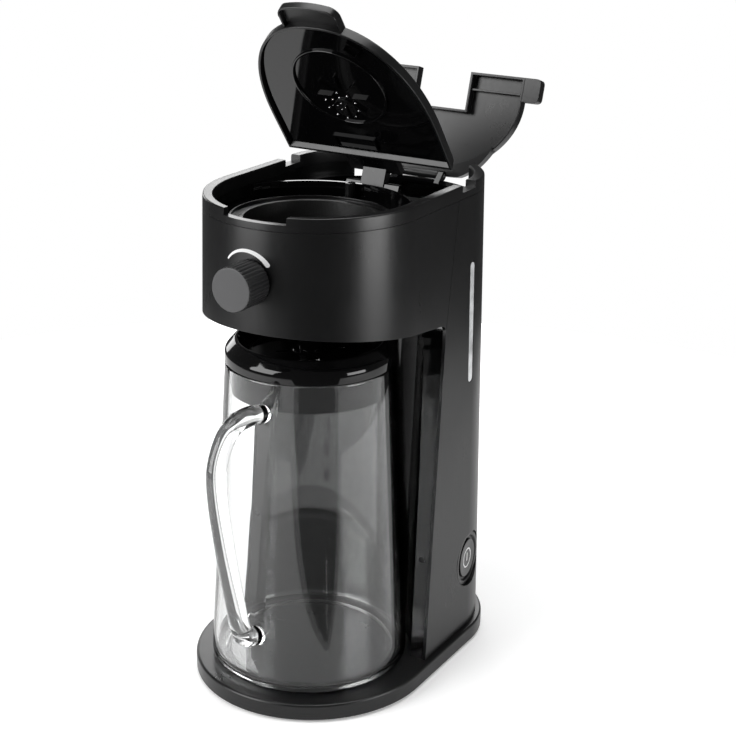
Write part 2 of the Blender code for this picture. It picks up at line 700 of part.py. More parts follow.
def build_rear_housing(root, finishes, power_axis):
    """The tall housing behind the seam, with its window, button and cord openings."""
    housing = shell_tube("rear_housing", SHELL_BOTTOM_Z, SHELL_TOP_Z, finishes["satin"], root)
    low = SHELL_BOTTOM_Z - OVERRUN
    high = SHELL_TOP_Z + OVERRUN
    behind = BODY_SIDE_LENGTH + 2 * BODY_REAR_DEPTH
    wide = 2 * BODY_HALF_WIDTH
    keep = bar(
        "housing_side_guide",
        [
            (seam_y(low), low), (behind, low), (behind, high), (seam_y(high), high),
            (seam_y(SEAM_BEND_Z), SEAM_BEND_Z),
        ],
        -wide, wide, None, root,
    )
    combine(housing, keep, "INTERSECT")
    notch_low = (-REAR_NOTCH_HALF_WIDTH, BODY_SIDE_LENGTH, REAR_NOTCH_Z)
    notch_high = (REAR_NOTCH_HALF_WIDTH, behind, RIM_TOP_Z + OVERRUN)
    notch = block("rear_notch_guide", notch_low, notch_high, None, root)
    slot = bar(
        "window_slot_guide", slot_outline(WINDOW_HALF_WIDTH, WINDOW_LOW_Z, WINDOW_HIGH_Z, WINDOW_Y), 0,
        wide, None, root,
    )
    power_hole = disc(
        "power_hole_guide", BEZEL_RADIUS + FIT_GAP, -BEZEL_RADIUS, BEZEL_RADIUS, None, power_axis,
        steps=PIECE_STEPS,
    )
    gland_y = BODY_SIDE_LENGTH + BODY_REAR_DEPTH + BODY_DRAFT_SHARE * (RIM_TOP_Z - GLAND_Z)
    gland_turn = (math.radians(-90), 0, 0)
    gland_hole = disc(
        "gland_hole_guide", GLAND_RADIUS + FIT_GAP, -2 * OVERRUN, OVERRUN, None, root,
        (0, gland_y, GLAND_Z), gland_turn,
    )
    cut(housing, notch, slot, power_hole, gland_hole)
    window = shell_tube(
        "level_window", WINDOW_LOW_Z - OVERRUN, WINDOW_HIGH_Z + OVERRUN, finishes["window"], root,
        WINDOW_SETBACK, SHELL_WALL + WINDOW_DEPTH,
    )
    window_form = slot_outline(
        WINDOW_HALF_WIDTH - FIT_GAP, WINDOW_LOW_Z + FIT_GAP, WINDOW_HIGH_Z - FIT_GAP, WINDOW_Y,
    )
    combine(window, bar("window_guide", window_form, 0, wide, None, root), "INTERSECT")
    inner = -SHELL_WALL - FIT_GAP
    gland = [
        (GLAND_BORE, inner - GLAND_FLANGE_THICKNESS), (GLAND_FLANGE_RADIUS, inner - GLAND_FLANGE_THICKNESS),
        (GLAND_FLANGE_RADIUS, inner - FIT_GAP), (GLAND_RADIUS, inner - FIT_GAP), (GLAND_RADIUS, FIT_GAP),
        (GLAND_FLANGE_RADIUS, FIT_GAP), (GLAND_FLANGE_RADIUS, GLAND_FLANGE_THICKNESS),
        (GLAND_BORE, GLAND_FLANGE_THICKNESS),
    ]
    lathe("cord_gland", gland, finishes["rubber"], root, (0, gland_y, GLAND_Z), gland_turn, SMALL_STEPS, True)


def head_side_profile(low_front):
    """The (y, z) side outline of the head shell, with the fillet where it turns down at the seam."""
    radius = HEAD_FILLET_RADIUS
    centre_z = underside_z(seam_y(HEAD_FRONT_BOTTOM_Z)) - radius
    for _ in range(6):
        centre_y = seam_y(centre_z) - FIT_GAP - radius * math.hypot(1, SEAM_LOWER_LEAN_SHARE)
        centre_z = underside_z(centre_y) - radius * math.hypot(1, HEAD_BOTTOM_FALL_SHARE)
    from_angle = math.degrees(math.atan2(1, HEAD_BOTTOM_FALL_SHARE))
    fillet = arc((centre_y, centre_z), (radius, radius), from_angle, 20, FILLET_STEPS)
    tip_z = fillet[-1][1]
    high = SHELL_TOP_Z + OVERRUN
    seam = [(seam_y(z) - FIT_GAP, z) for z in (tip_z, SEAM_BEND_Z, high)]
    if SEAM_BEND_Z <= tip_z:
        seam.pop(1)
    return [(low_front, underside_z(low_front)), *fillet, *seam, (low_front, high)]


def build_head_shell(root, finishes, dial_axis):
    """The glossy round front of the head, bored for the dial's bush."""
    low = underside_z(BODY_SIDE_LENGTH) - 2 * HEAD_FILLET_RADIUS - OVERRUN
    head = shell_tube("head_shell", low, SHELL_TOP_Z, finishes["satin"], root)
    front = -2 * BODY_FRONT_DEPTH
    wide = 2 * BODY_HALF_WIDTH
    combine(head, bar("head_side_guide", head_side_profile(front), -wide, wide, None, root), "INTERSECT")
    bore = disc("bush_hole_guide", BUSH_RADIUS + FIT_GAP, -2 * SHELL_WALL, OVERRUN, None, dial_axis, steps=24)
    cut(head, bore)


def build_head_underside(root, finishes):
    """The sloping panel under the head, which also covers the top of the column panel."""
    level = underside_z(0)
    inset = SHELL_WALL + FIT_GAP - BODY_DRAFT_SHARE * (RIM_TOP_Z - level)
    half_width = BODY_HALF_WIDTH - inset
    corner_y = seam_y(level) + COLUMN_PANEL_THICKNESS
    radius = column_radius(level) + COLUMN_PANEL_THICKNESS + FIT_GAP
    corner_angle = math.degrees(math.asin((corner_y - BREW_Y) / radius))
    outline = arc((0, 0), (half_width, BODY_FRONT_DEPTH - inset), 180, 360, FRONT_STEPS)
    outline.append((half_width, corner_y))
    outline += arc((0, BREW_Y), (radius, radius), corner_angle, 180 - corner_angle, FRONT_STEPS)
    outline.append((-half_width, corner_y))
    rings = []
    for rise in (UNDERSIDE_RECESS, UNDERSIDE_RECESS + UNDERSIDE_THICKNESS):
        rings.append([(x, y, underside_z(y) + rise) for x, y in outline])
    panel = skin("head_underside", rings, finishes["satin"], root)
    hole = disc(
        "underside_hole_guide", UNDERSIDE_HOLE_RADIUS, level - 3 * OVERRUN, level + 3 * OVERRUN, None, root,
        (0, BREW_Y, 0), steps=PIECE_STEPS,
    )
    cut(panel, hole)


def column_outline(height, crest):
    """The column panel's ring of points: side strips and the hollow behind the jug, front then back."""
    strip_y = seam_y(height) + FIT_GAP
    edge_x = body_half_width(height) - SHELL_WALL - FIT_GAP
    outline = []
    for depth, turn in ((0, 1), (COLUMN_PANEL_THICKNESS, -1)):
        radius = column_radius(height) + depth
        y = strip_y + depth
        angle = math.degrees(math.asin((y - BREW_Y) / radius))
        hollow = arc((0, BREW_Y), (radius, radius), 180 - angle, angle, FRONT_STEPS)
        outline += [(-edge_x, y), *hollow, (edge_x, y)][::turn]
    if not crest:
        return [(x, y, height) for x, y in outline]
    return [(x, y, underside_z(y) + UNDERSIDE_RECESS - FIT_GAP) for x, y in outline]


def build_column_panel(root, finishes):
    """The glossy panel behind the jug, with its two screws."""
    crest_z = underside_z(seam_y(SEAM_BEND_Z))
    rings = [
        column_outline(SHELL_BOTTOM_Z, False), column_outline(SEAM_BEND_Z, False),
        column_outline(crest_z, True),
    ]
    if SEAM_BEND_Z >= underside_z(BREW_Y + column_radius(SEAM_BEND_Z)):
        rings.pop(1)
    panel = skin("column_front_panel", rings, finishes["gloss"], root)
    y = seam_y(COLUMN_SCREW_Z) + FIT_GAP
    turn = (math.radians(90), 0, 0)
    head_height = COLUMN_PANEL_THICKNESS - FIT_GAP
    profile = [
        (0, -SCREW_LENGTH), (SCREW_RADIUS, -SCREW_LENGTH), (SCREW_RADIUS, -COLUMN_PANEL_THICKNESS),
        (COLUMN_SCREW_HEAD_RADIUS, -head_height), (COLUMN_SCREW_HEAD_RADIUS, -FIT_GAP), (0, -FIT_GAP),
    ]
    for label, side in (("left", -1), ("right", 1)):
        at = (side * COLUMN_SCREW_X, y, COLUMN_SCREW_Z)
        radius = COLUMN_SCREW_HEAD_RADIUS + FIT_GAP
        cut(panel, disc(f"column_hole_guide_{label}", radius, -OVERRUN, OVERRUN, None, root, at, turn))
        lathe(f"column_screw_{label}", profile, finishes["steel"], root, at, turn, SMALL_STEPS)


def build_top_ring(root, finishes):
    """The rim ring, open at the rear, with a recess for the front lid's tab and two side notches."""
    def inner(height, widen):
        half_width = BODY_HALF_WIDTH - RING_SIDE_WIDTH + widen
        front = BODY_FRONT_DEPTH - RING_FRONT_WIDTH + widen
        rear = BODY_REAR_DEPTH - RING_REAR_WIDTH + widen
        return [(x, y, height) for x, y in plan(half_width, front, rear)]

    edge_z = RIM_TOP_Z - RING_EDGE
    rings = [
        body_outline(RING_BOTTOM_Z), body_outline(edge_z), body_outline(RIM_TOP_Z, RING_EDGE),
        inner(RIM_TOP_Z, RING_EDGE), inner(edge_z, 0), inner(RING_BOTTOM_Z, 0),
    ]
    ring = skin("top_ring", rings, finishes["satin"], root, looped=True)
    far = 2 * BODY_FRONT_DEPTH
    high = RIM_TOP_Z + OVERRUN
    recess = block(
        "tab_recess_guide", (-RING_TAB_RECESS_HALF_WIDTH, -far, TAB_RECESS_Z),
        (RING_TAB_RECESS_HALF_WIDTH, 0, high),
        None, root,
    )
    rear = block(
        "ring_gap_guide", (-REAR_NOTCH_HALF_WIDTH, BODY_SIDE_LENGTH, RING_BOTTOM_Z - OVERRUN),
        (REAR_NOTCH_HALF_WIDTH, 2 * far, high), None, root,
    )
    side_low = TANK_LID_FRONT_Y - 2 * FIT_GAP
    side_high = TANK_LID_FRONT_Y + TANK_LID_TAB_LENGTH + 3 * FIT_GAP
    sides = block("side_notch_guide", (-far, side_low, TAB_RECESS_Z), (far, side_high, high), None, root)
    cut(ring, recess, rear, sides)


def ear_outline(axis_y, axis_z, base_front, base_rear, radius):
    """The (y, z) outline of a hinge ear that stands on the deck and rounds over its pin."""
    foot = DECK_TOP_Z - JOIN_OVERLAP
    over = arc((axis_y, axis_z), (radius, radius), -60, 120, SMALL_STEPS // 2)
    return [(base_front, foot), (base_rear, foot), *over]


def build_deck(root, finishes):
    """The deck with the chamber wall, the ears of both hinges and the openings through it."""
    inset = SHELL_WALL + FIT_GAP
    deck = skin(
        "deck", [body_outline(DECK_BOTTOM_Z, inset), body_outline(DECK_TOP_Z, inset)], finishes["gloss"],
        root,
    )
    foot = DECK_TOP_Z - JOIN_OVERLAP
    start = math.degrees(math.asin((CHAMBER_WALL_START_Y - BREW_Y) / CHAMBER_WALL_RADIUS))
    outer = CHAMBER_WALL_RADIUS + CHAMBER_WALL_THICKNESS
    wall = arc((0, BREW_Y), (outer, outer), start, 180 - start, FRONT_STEPS)
    wall += arc((0, BREW_Y), (CHAMBER_WALL_RADIUS, CHAMBER_WALL_RADIUS), 180 - start, start, FRONT_STEPS)
    join(deck, slab("chamber_wall_guide", wall, foot, DECK_TOP_Z + CHAMBER_WALL_HEIGHT, None, root))
    front_base = 2 * HINGE_BARREL_RADIUS
    front_ear = ear_outline(
        FRONT_HINGE_Y, FRONT_HINGE_Z, FRONT_HINGE_Y - front_base, FRONT_HINGE_Y + front_base,
        HINGE_BARREL_RADIUS,
    )
    tank_ear = ear_outline(
        TANK_HINGE_Y, TANK_HINGE_Z, TANK_HINGE_Y - 3 * TANK_BARREL_RADIUS,
        TANK_HINGE_Y - TANK_BARREL_RADIUS / 2,
        TANK_BARREL_RADIUS,
    )
    tank_ear_outer = TANK_EAR_INNER_X + TANK_EAR_WIDTH
    ears = (
        ("front_ear_left", front_ear, -FRONT_KNUCKLE_OUTER_X, -FRONT_KNUCKLE_INNER_X),
        ("front_ear_right", front_ear, FRONT_KNUCKLE_INNER_X, FRONT_KNUCKLE_OUTER_X),
        ("tank_ear_left", tank_ear, -tank_ear_outer, -TANK_EAR_INNER_X),
        ("tank_ear_right", tank_ear, TANK_EAR_INNER_X, tank_ear_outer),
    )
    for name, outline, left, right in ears:
        join(deck, bar(f"{name}_guide", outline, left, right, None, root))
    along_x = (0, math.radians(90), 0)
    wide = BODY_HALF_WIDTH
    for label, y, z in (("front", FRONT_HINGE_Y, FRONT_HINGE_Z), ("tank", TANK_HINGE_Y, TANK_HINGE_Z)):
        cut(deck, disc(f"{label}_bore_guide", PIN_BORE_RADIUS, -wide, wide, None, root, (0, y, z), along_x))
    hole = disc(
        "brew_hole_guide", DECK_HOLE_RADIUS, DECK_BOTTOM_Z - OVERRUN, DECK_TOP_Z + OVERRUN, None, root,
        (0, BREW_Y, 0), steps=ROUND_STEPS,
    )
    half_width = BODY_HALF_WIDTH - TANK_MOUTH_INSET
    mouth_outline = [(half_width, TANK_MOUTH_FRONT_Y)]
    mouth_outline += arc(
        (0, TANK_MOUTH_FRONT_Y),
        (half_width, BODY_SIDE_LENGTH + BODY_REAR_DEPTH - TANK_MOUTH_INSET - TANK_MOUTH_FRONT_Y),
        0, 180, REAR_STEPS,
    )[1:]
    mouth = slab("tank_mouth_guide", mouth_outline, DECK_BOTTOM_Z - OVERRUN, DECK_TOP_Z + OVERRUN, None, root)
    spout_hole = disc(
        "spout_hole_guide", SPOUT_RADIUS + FIT_GAP, DECK_BOTTOM_Z - OVERRUN, DECK_TOP_Z + OVERRUN, None, root,
        (SPOUT_X, SPOUT_Y, 0),
    )
    cut(deck, hole, mouth, spout_hole)
    disc(
        "front_hinge_pin", HINGE_PIN_RADIUS, -FRONT_KNUCKLE_OUTER_X, FRONT_KNUCKLE_OUTER_X,
        finishes["steel"], root,
        (0, FRONT_HINGE_Y, FRONT_HINGE_Z), along_x,
    )
    disc(
        "tank_hinge_pin", HINGE_PIN_RADIUS, -tank_ear_outer, tank_ear_outer, finishes["steel"], root,
        (0, TANK_HINGE_Y, TANK_HINGE_Z), along_x,
    )


def build_brew_well(root, finishes):
    """The cup under the deck that the brew basket hangs in."""
    top = DECK_BOTTOM_Z - FIT_GAP
    inner = DECK_HOLE_RADIUS - FIT_GAP
    outer = inner + WELL_WALL
    profile = [
        (WELL_HOLE_RADIUS, WELL_BOTTOM_Z), (outer - WELL_TAPER, WELL_BOTTOM_Z), (outer, top - WELL_WALL),
        (outer + WELL_FLANGE_WIDTH, top - WELL_WALL), (outer + WELL_FLANGE_WIDTH, top), (inner, top),
        (inner - WELL_TAPER, WELL_BOTTOM_Z + WELL_WALL), (WELL_HOLE_RADIUS, WELL_BOTTOM_Z + WELL_WALL),
    ]
    lathe("brew_well", profile, finishes["satin"], root, (0, BREW_Y, 0), looped=True)


def front_lid_rear(height):
    """Where the front lid's rear end lies from its hinge axis at a height, clear of the tank lid's swing."""
    angle = math.radians(FRONT_LID_OPEN_ANGLE)
    behind = TANK_HINGE_Y - FRONT_HINGE_Y
    above = TANK_HINGE_Z - FRONT_HINGE_Z
    centre_y = behind * math.cos(angle) - above * math.sin(angle)
    centre_z = behind * math.sin(angle) + above * math.cos(angle)
    swing = math.hypot(TANK_HINGE_Y - TANK_LID_FRONT_Y, TANK_LID_LIFT + TANK_LID_HEIGHT) + LID_SWING_CLEARANCE
    return centre_y - math.sqrt(swing ** 2 - (centre_z - height) ** 2)


def front_lid_outline(height, inset):
    """The front lid's ring of points from its hinge axis: a blunt nose and straight sides."""
    half_width = BODY_HALF_WIDTH - RING_SIDE_WIDTH - LID_RIM_CLEARANCE - inset
    tip = BODY_FRONT_DEPTH - RING_FRONT_WIDTH - LID_NOSE_CLEARANCE - inset
    straight = FRONT_HINGE_Y + front_lid_rear(FRONT_LID_LIFT) - FRONT_LID_SIDE_LENGTH
    rear = FRONT_HINGE_Y + front_lid_rear(height) - inset
    nose = straight + tip
    outline = []
    for step in range(FRONT_STEPS + 1):
        angle = math.pi * step / FRONT_STEPS
        across = -math.copysign(abs(math.cos(angle)) ** (2 / FRONT_LID_NOSE_SHARE), math.cos(angle))
        ahead = math.sin(angle) ** (2 / FRONT_LID_NOSE_SHARE) if 0 < step < FRONT_STEPS else 0
        outline.append((half_width * across, straight - nose * ahead))
    outline += [(half_width, rear), (-half_width, rear)]
    return [(x, y - FRONT_HINGE_Y, height) for x, y in outline]


def hinge_arm_outline(low_reach, high_reach, low, high, radius, drop):
    """The (y, z) outline of a lid's arm from inside the lid down round its hinge axis."""
    round_end = arc((0, 0), (radius, radius), 210, 400, SMALL_STEPS // 2)
    return [(-low_reach, low), (-drop, low), *round_end, (-drop / 2, high), (-high_reach, high)]


def build_front_lid(root, finishes):
    """The open front lid: its cover with the tab and hinge arm, the ribbed liner and the shower plate."""
    hinge = empty(
        "front_lid_axis", root, (0, FRONT_HINGE_Y, FRONT_HINGE_Z),
        (math.radians(-FRONT_LID_OPEN_ANGLE), 0, 0),
    )
    low = FRONT_LID_LIFT
    high = low + FRONT_LID_HEIGHT
    cover = skin(
        "front_lid_cover",
        [
            front_lid_outline(high - LID_WALL, LID_WALL), front_lid_outline(low, LID_WALL),
            front_lid_outline(low, 0),
            front_lid_outline(high - LID_EDGE, 0), front_lid_outline(high, LID_EDGE),
        ],
        finishes["satin"], hinge,
    )
    tab_low = TAB_RECESS_Z + FIT_GAP - FRONT_HINGE_Z
    tab_high = high - LID_EDGE
    root_y = -(BODY_FRONT_DEPTH - RING_FRONT_WIDTH)
    end_y = -BODY_FRONT_DEPTH - LID_TAB_REACH
    tab_profile = [
        (root_y + 2 * LID_WALL, tab_high), (end_y, tab_high), (end_y, tab_low),
        (end_y + LID_TAB_LIP, tab_low),
        (end_y + LID_TAB_LIP, tab_high - LID_TAB_THICKNESS),
        (-BODY_FRONT_DEPTH, tab_high - LID_TAB_THICKNESS),
        (-BODY_FRONT_DEPTH, tab_low), (root_y, tab_low), (root_y + LID_WALL, tab_high - LID_WALL - LID_EDGE),
    ]
    rings = []
    for step in range(9):
        x = LID_TAB_HALF_WIDTH * (step / 4 - 1)
        sag = BODY_FRONT_DEPTH * (1 - math.sqrt(1 - (x / BODY_HALF_WIDTH) ** 2))
        rings.append([(x, y + sag - FRONT_HINGE_Y, z) for y, z in tab_profile])
    join(cover, skin("lid_tab_guide", rings, None, hinge))
    arm_low = low + LID_WALL
    arm_high = high - LID_EDGE
    reaches = [JOIN_OVERLAP - front_lid_rear(height) for height in (arm_low, arm_high)]
    arm = hinge_arm_outline(*reaches, arm_low, arm_high, HINGE_BARREL_RADIUS, 1.5 * FRONT_LID_LIFT)
    join(cover, bar("lid_arm_guide", arm, -FRONT_LID_KNUCKLE_X, FRONT_LID_KNUCKLE_X, None, hinge))
    along_x = (0, math.radians(90), 0)
    cut(
        cover,
        disc("lid_bore_guide", PIN_BORE_RADIUS, -BODY_HALF_WIDTH, BODY_HALF_WIDTH, None, hinge, turn=along_x),
    )

    inset = LID_WALL + FIT_GAP
    liner_low = low + LINER_DEPTH
    liner_high = liner_low + LINER_THICKNESS
    liner = skin(
        "front_lid_liner", [front_lid_outline(liner_low, inset), front_lid_outline(liner_high, inset)],
        finishes["gloss"], hinge,
    )
    rear = front_lid_rear(low)
    ridge_low = liner_low - LINER_RIDGE_HEIGHT
    overlap = liner_low + JOIN_OVERLAP
    ridge_inner = LINER_RIDGE_RADIUS - LINER_RIDGE_WIDTH
    ridge = [
        (ridge_inner, ridge_low), (LINER_RIDGE_RADIUS, ridge_low), (LINER_RIDGE_RADIUS, overlap),
        (ridge_inner, overlap),
    ]
    join(liner, lathe("ridge_guide", ridge, None, hinge, (0, rear - LINER_RIDGE_SETBACK, 0), looped=True))
    for number in range(8):
        turn = (0, 0, math.radians(45 * number))
        half = LINER_RIB_WIDTH / 2
        rib = block(
            f"rib_guide_{number}", (LINER_RIB_INNER, -half, ridge_low), (LINER_RIB_OUTER, half, overlap),
            None, hinge,
            (0, rear - LINER_RIB_SETBACK, 0), turn,
        )
        join(liner, rib)
    box_front = rear - INLET_BOX_DEPTH
    box_rear = front_lid_rear(liner_high) - inset - LID_WALL
    inside = INLET_BOX_WALL
    join(
        liner,
        block(
            "inlet_box_guide", (INLET_BOX_LEFT_X, box_front, ridge_low),
            (INLET_BOX_RIGHT_X, box_rear, overlap), None, hinge,
        ),
    )
    cut(
        liner,
        block(
            "inlet_hollow_guide", (INLET_BOX_LEFT_X + inside, box_front + inside, ridge_low - OVERRUN),
            (INLET_BOX_RIGHT_X - inside, box_rear - inside, liner_low), None, hinge,
        ),
    )
    shower_high = liner_low - FIT_GAP
    shower_at = (SHOWER_X, rear - SHOWER_SETBACK, 0)
    shower = disc(
        "shower_plate", SHOWER_RADIUS, shower_high - SHOWER_THICKNESS, shower_high, finishes["satin"],
        hinge, shower_at,
        steps=24,
    )
    cut(
        liner,
        disc(
            "shower_bay_guide", SHOWER_RADIUS + FIT_GAP, ridge_low - OVERRUN, liner_low, None, hinge,
            shower_at, steps=24,
        ),
    )
    for count, radius_share in ((4, 0.32), (10, 0.74)):
        for number in range(count):
            angle = math.tau * (number + 0.5) / count
            radius = SHOWER_RADIUS * radius_share
            at = (shower_at[0] + radius * math.cos(angle), shower_at[1] + radius * math.sin(angle), 0)
            hole = disc(
                f"shower_hole_guide_{count}_{number}", SHOWER_HOLE_RADIUS, shower_high - OVERRUN,
                shower_high + OVERRUN,
                None, hinge, at, steps=6,
            )
            cut(shower, hole)


def tank_lid_outline(height, inset):
    """The tank lid's ring of points from its hinge axis: a round rear and a notched front edge."""
    half_width = BODY_HALF_WIDTH - RING_SIDE_WIDTH - LID_RIM_CLEARANCE - inset
    rear_depth = BODY_REAR_DEPTH - RING_REAR_WIDTH - LID_RIM_CLEARANCE - inset
    notch_x = TANK_LID_NOTCH_HALF_WIDTH + inset
    front = TANK_LID_FRONT_Y + inset
    notch_y = front + TANK_LID_NOTCH_DEPTH
    outline = [
        (-half_width, front), (-notch_x, front), (-notch_x, notch_y), (notch_x, notch_y), (notch_x, front),
    ]
    outline += [
        (half_width, front), *arc((0, BODY_SIDE_LENGTH), (half_width, rear_depth), 0, 180, REAR_STEPS),
    ]
    return [(x, y - TANK_HINGE_Y, height) for x, y in outline]


def build_tank_lid(root, finishes):
    """The open tank lid with its rib, finger tabs and hinge arm."""
    hinge = empty(
        "tank_lid_axis", root, (0, TANK_HINGE_Y, TANK_HINGE_Z), (math.radians(-TANK_LID_OPEN_ANGLE), 0, 0),
    )
    low = TANK_LID_LIFT
    high = low + TANK_LID_HEIGHT
    lid = skin(
        "tank_lid",
        [
            tank_lid_outline(high - LID_WALL, LID_WALL), tank_lid_outline(low, LID_WALL),
            tank_lid_outline(low, 0),
            tank_lid_outline(high - LID_EDGE, 0), tank_lid_outline(high, LID_EDGE),
        ],
        finishes["satin"], hinge,
    )
    inner_x = BODY_HALF_WIDTH - RING_SIDE_WIDTH - LID_RIM_CLEARANCE - LID_WALL / 2
    rib_y = TANK_LID_FRONT_Y + TANK_LID_RIB_SETBACK - TANK_HINGE_Y
    tab_front = TANK_LID_FRONT_Y - TANK_HINGE_Y
    tab_low = TAB_RECESS_Z + FIT_GAP - TANK_HINGE_Z
    for side, label in ((-1, "left"), (1, "right")):
        spans = sorted((side * (TANK_LID_NOTCH_HALF_WIDTH + LID_WALL / 2), side * inner_x))
        rib = block(
            f"tank_rib_guide_{label}", (spans[0], rib_y, low + LID_WALL),
            (spans[1], rib_y + TANK_LID_RIB_WIDTH, high - LID_WALL / 2),
            None, hinge,
        )
        spans = sorted((side * inner_x, side * (BODY_HALF_WIDTH + TANK_LID_TAB_REACH)))
        tab = block(
            f"tank_tab_guide_{label}", (spans[0], tab_front, tab_low),
            (spans[1], tab_front + TANK_LID_TAB_LENGTH, high - LID_EDGE),
            None, hinge,
        )
        join(lid, rib, tab)
    lid_rear_y = BODY_SIDE_LENGTH + BODY_REAR_DEPTH - RING_REAR_WIDTH - 2 * LID_RIM_CLEARANCE
    reach = TANK_HINGE_Y - lid_rear_y + LID_WALL
    arm = hinge_arm_outline(reach, reach, low, high - LID_EDGE, TANK_BARREL_RADIUS, TANK_BARREL_RADIUS)
    barrel_x = TANK_EAR_INNER_X - 2 * FIT_GAP
    join(lid, bar("tank_arm_guide", arm, -barrel_x, barrel_x, None, hinge))
    along_x = (0, math.radians(90), 0)
    cut(
        lid,
        disc(
            "tank_lid_bore_guide", PIN_BORE_RADIUS, -BODY_HALF_WIDTH, BODY_HALF_WIDTH, None, hinge,
            turn=along_x,
        ),
    )


def build_tank(root, finishes):
    """The water tank in the column, open at the top, with an outlet in its floor."""
    def outline(height, inset):
        grow = BODY_DRAFT_SHARE * (RIM_TOP_Z - height) - TANK_INSET - inset
        half_width = BODY_HALF_WIDTH + grow
        depth = BODY_REAR_DEPTH + grow
        front = TANK_FRONT_Y + inset
        start = math.degrees(math.asin(max(front - BODY_SIDE_LENGTH, 0) / depth))
        points = arc((0, BODY_SIDE_LENGTH), (half_width, depth), start, 180 - start, REAR_STEPS)
        if front < BODY_SIDE_LENGTH:
            points += [(-half_width, front), (half_width, front)]
        return [(x, y, height) for x, y in points]

    top = DECK_BOTTOM_Z - FIT_GAP
    floor = TANK_BOTTOM_Z + TANK_WALL
    rings = [outline(TANK_BOTTOM_Z, 0), outline(top, 0), outline(top, TANK_WALL), outline(floor, TANK_WALL)]
    tank = skin("water_tank", rings, finishes["window"], root)
    at = (TANK_OUTLET_X, TANK_OUTLET_Y, 0)
    low = TANK_BOTTOM_Z - TANK_OUTLET_LENGTH
    join(tank, disc("outlet_guide", TANK_OUTLET_RADIUS, low, TANK_BOTTOM_Z + JOIN_OVERLAP, None, root, at))
    cut(tank, disc("outlet_bore_guide", TANK_OUTLET_BORE, low - OVERRUN, floor + OVERRUN, None, root, at))


def build_dial(root, finishes, dial_axis):
    """The ribbed strength dial with its spindle, the bush that carries it and the selector disc behind."""
    rib_radii = (DIAL_RADIUS, DIAL_RADIUS - DIAL_RIB_DEPTH)

    def ring(height, inset):
        count = 2 * DIAL_RIBS
        turns = [math.tau * step / count for step in range(count)]
        radii = [rib_radii[step % 2] - inset for step in range(count)]
        return [(r * math.cos(t), r * math.sin(t), height) for r, t in zip(radii, turns)]

    back = 2 * FIT_GAP
    front = back + DIAL_LENGTH
    dial = skin(
        "strength_dial", [ring(back, 0), ring(front - DIAL_EDGE, 0), ring(front, DIAL_EDGE)],
        finishes["dial"], dial_axis,
    )
    spindle_end = back + SPINDLE_INTO_DIAL
    cut(
        dial,
        disc("dial_bore_guide", SPINDLE_RADIUS + FIT_GAP, -OVERRUN, spindle_end + FIT_GAP, None, dial_axis),
    )
    disc("dial_spindle", SPINDLE_RADIUS, -SPINDLE_BACK, spindle_end, finishes["steel"], dial_axis)
    flange_front = -SHELL_WALL - 2 * FIT_GAP
    bore = SPINDLE_RADIUS + FIT_GAP
    bush = [
        (bore, flange_front - BUSH_FLANGE_THICKNESS),
        (BUSH_FLANGE_RADIUS, flange_front - BUSH_FLANGE_THICKNESS),
        (BUSH_FLANGE_RADIUS, flange_front - FIT_GAP), (BUSH_RADIUS, flange_front - FIT_GAP),
        (BUSH_RADIUS, 0), (bore, 0),
    ]
    lathe("dial_bush", bush, finishes["steel"], dial_axis, steps=24, looped=True)
    disc_front = flange_front - BUSH_FLANGE_THICKNESS - FIT_GAP
    disc_back = disc_front - SELECTOR_THICKNESS
    selector = [
        (bore, disc_back), (SELECTOR_RADIUS, disc_back), (SELECTOR_RADIUS, disc_front), (bore, disc_front),
    ]
    lathe("selector_disc", selector, finishes["white"], dial_axis, steps=24, looped=True)


def build_power_button(finishes, power_axis):
    """The power button in its bezel, with the switch body held in the bezel's collar."""
    bore = BUTTON_RADIUS + FIT_GAP
    collar = bore + BEZEL_COLLAR
    bezel = [
        (bore, -BEZEL_COLLAR_LENGTH), (collar, -BEZEL_COLLAR_LENGTH), (collar, -BEZEL_DEPTH),
        (BEZEL_RADIUS, -BEZEL_DEPTH), (BEZEL_RADIUS, 0), (bore, 0),
    ]
    lathe("power_bezel", bezel, finishes["satin"], power_axis, looped=True)
    disc(
        "power_button", BUTTON_RADIUS, -BUTTON_THICKNESS, 0, finishes["gloss"], power_axis,
        steps=PIECE_STEPS,
    )
    plunger = -BUTTON_THICKNESS - BUTTON_TRAVEL - FIT_GAP
    front = plunger - SWITCH_PLUNGER_LENGTH
    switch = [
        (0, front - SWITCH_LENGTH), (BUTTON_RADIUS, front - SWITCH_LENGTH), (BUTTON_RADIUS, front),
        (SWITCH_PLUNGER_RADIUS, front), (SWITCH_PLUNGER_RADIUS, plunger), (0, plunger),
    ]
    lathe("switch_body", switch, finishes["white"], power_axis, steps=24)


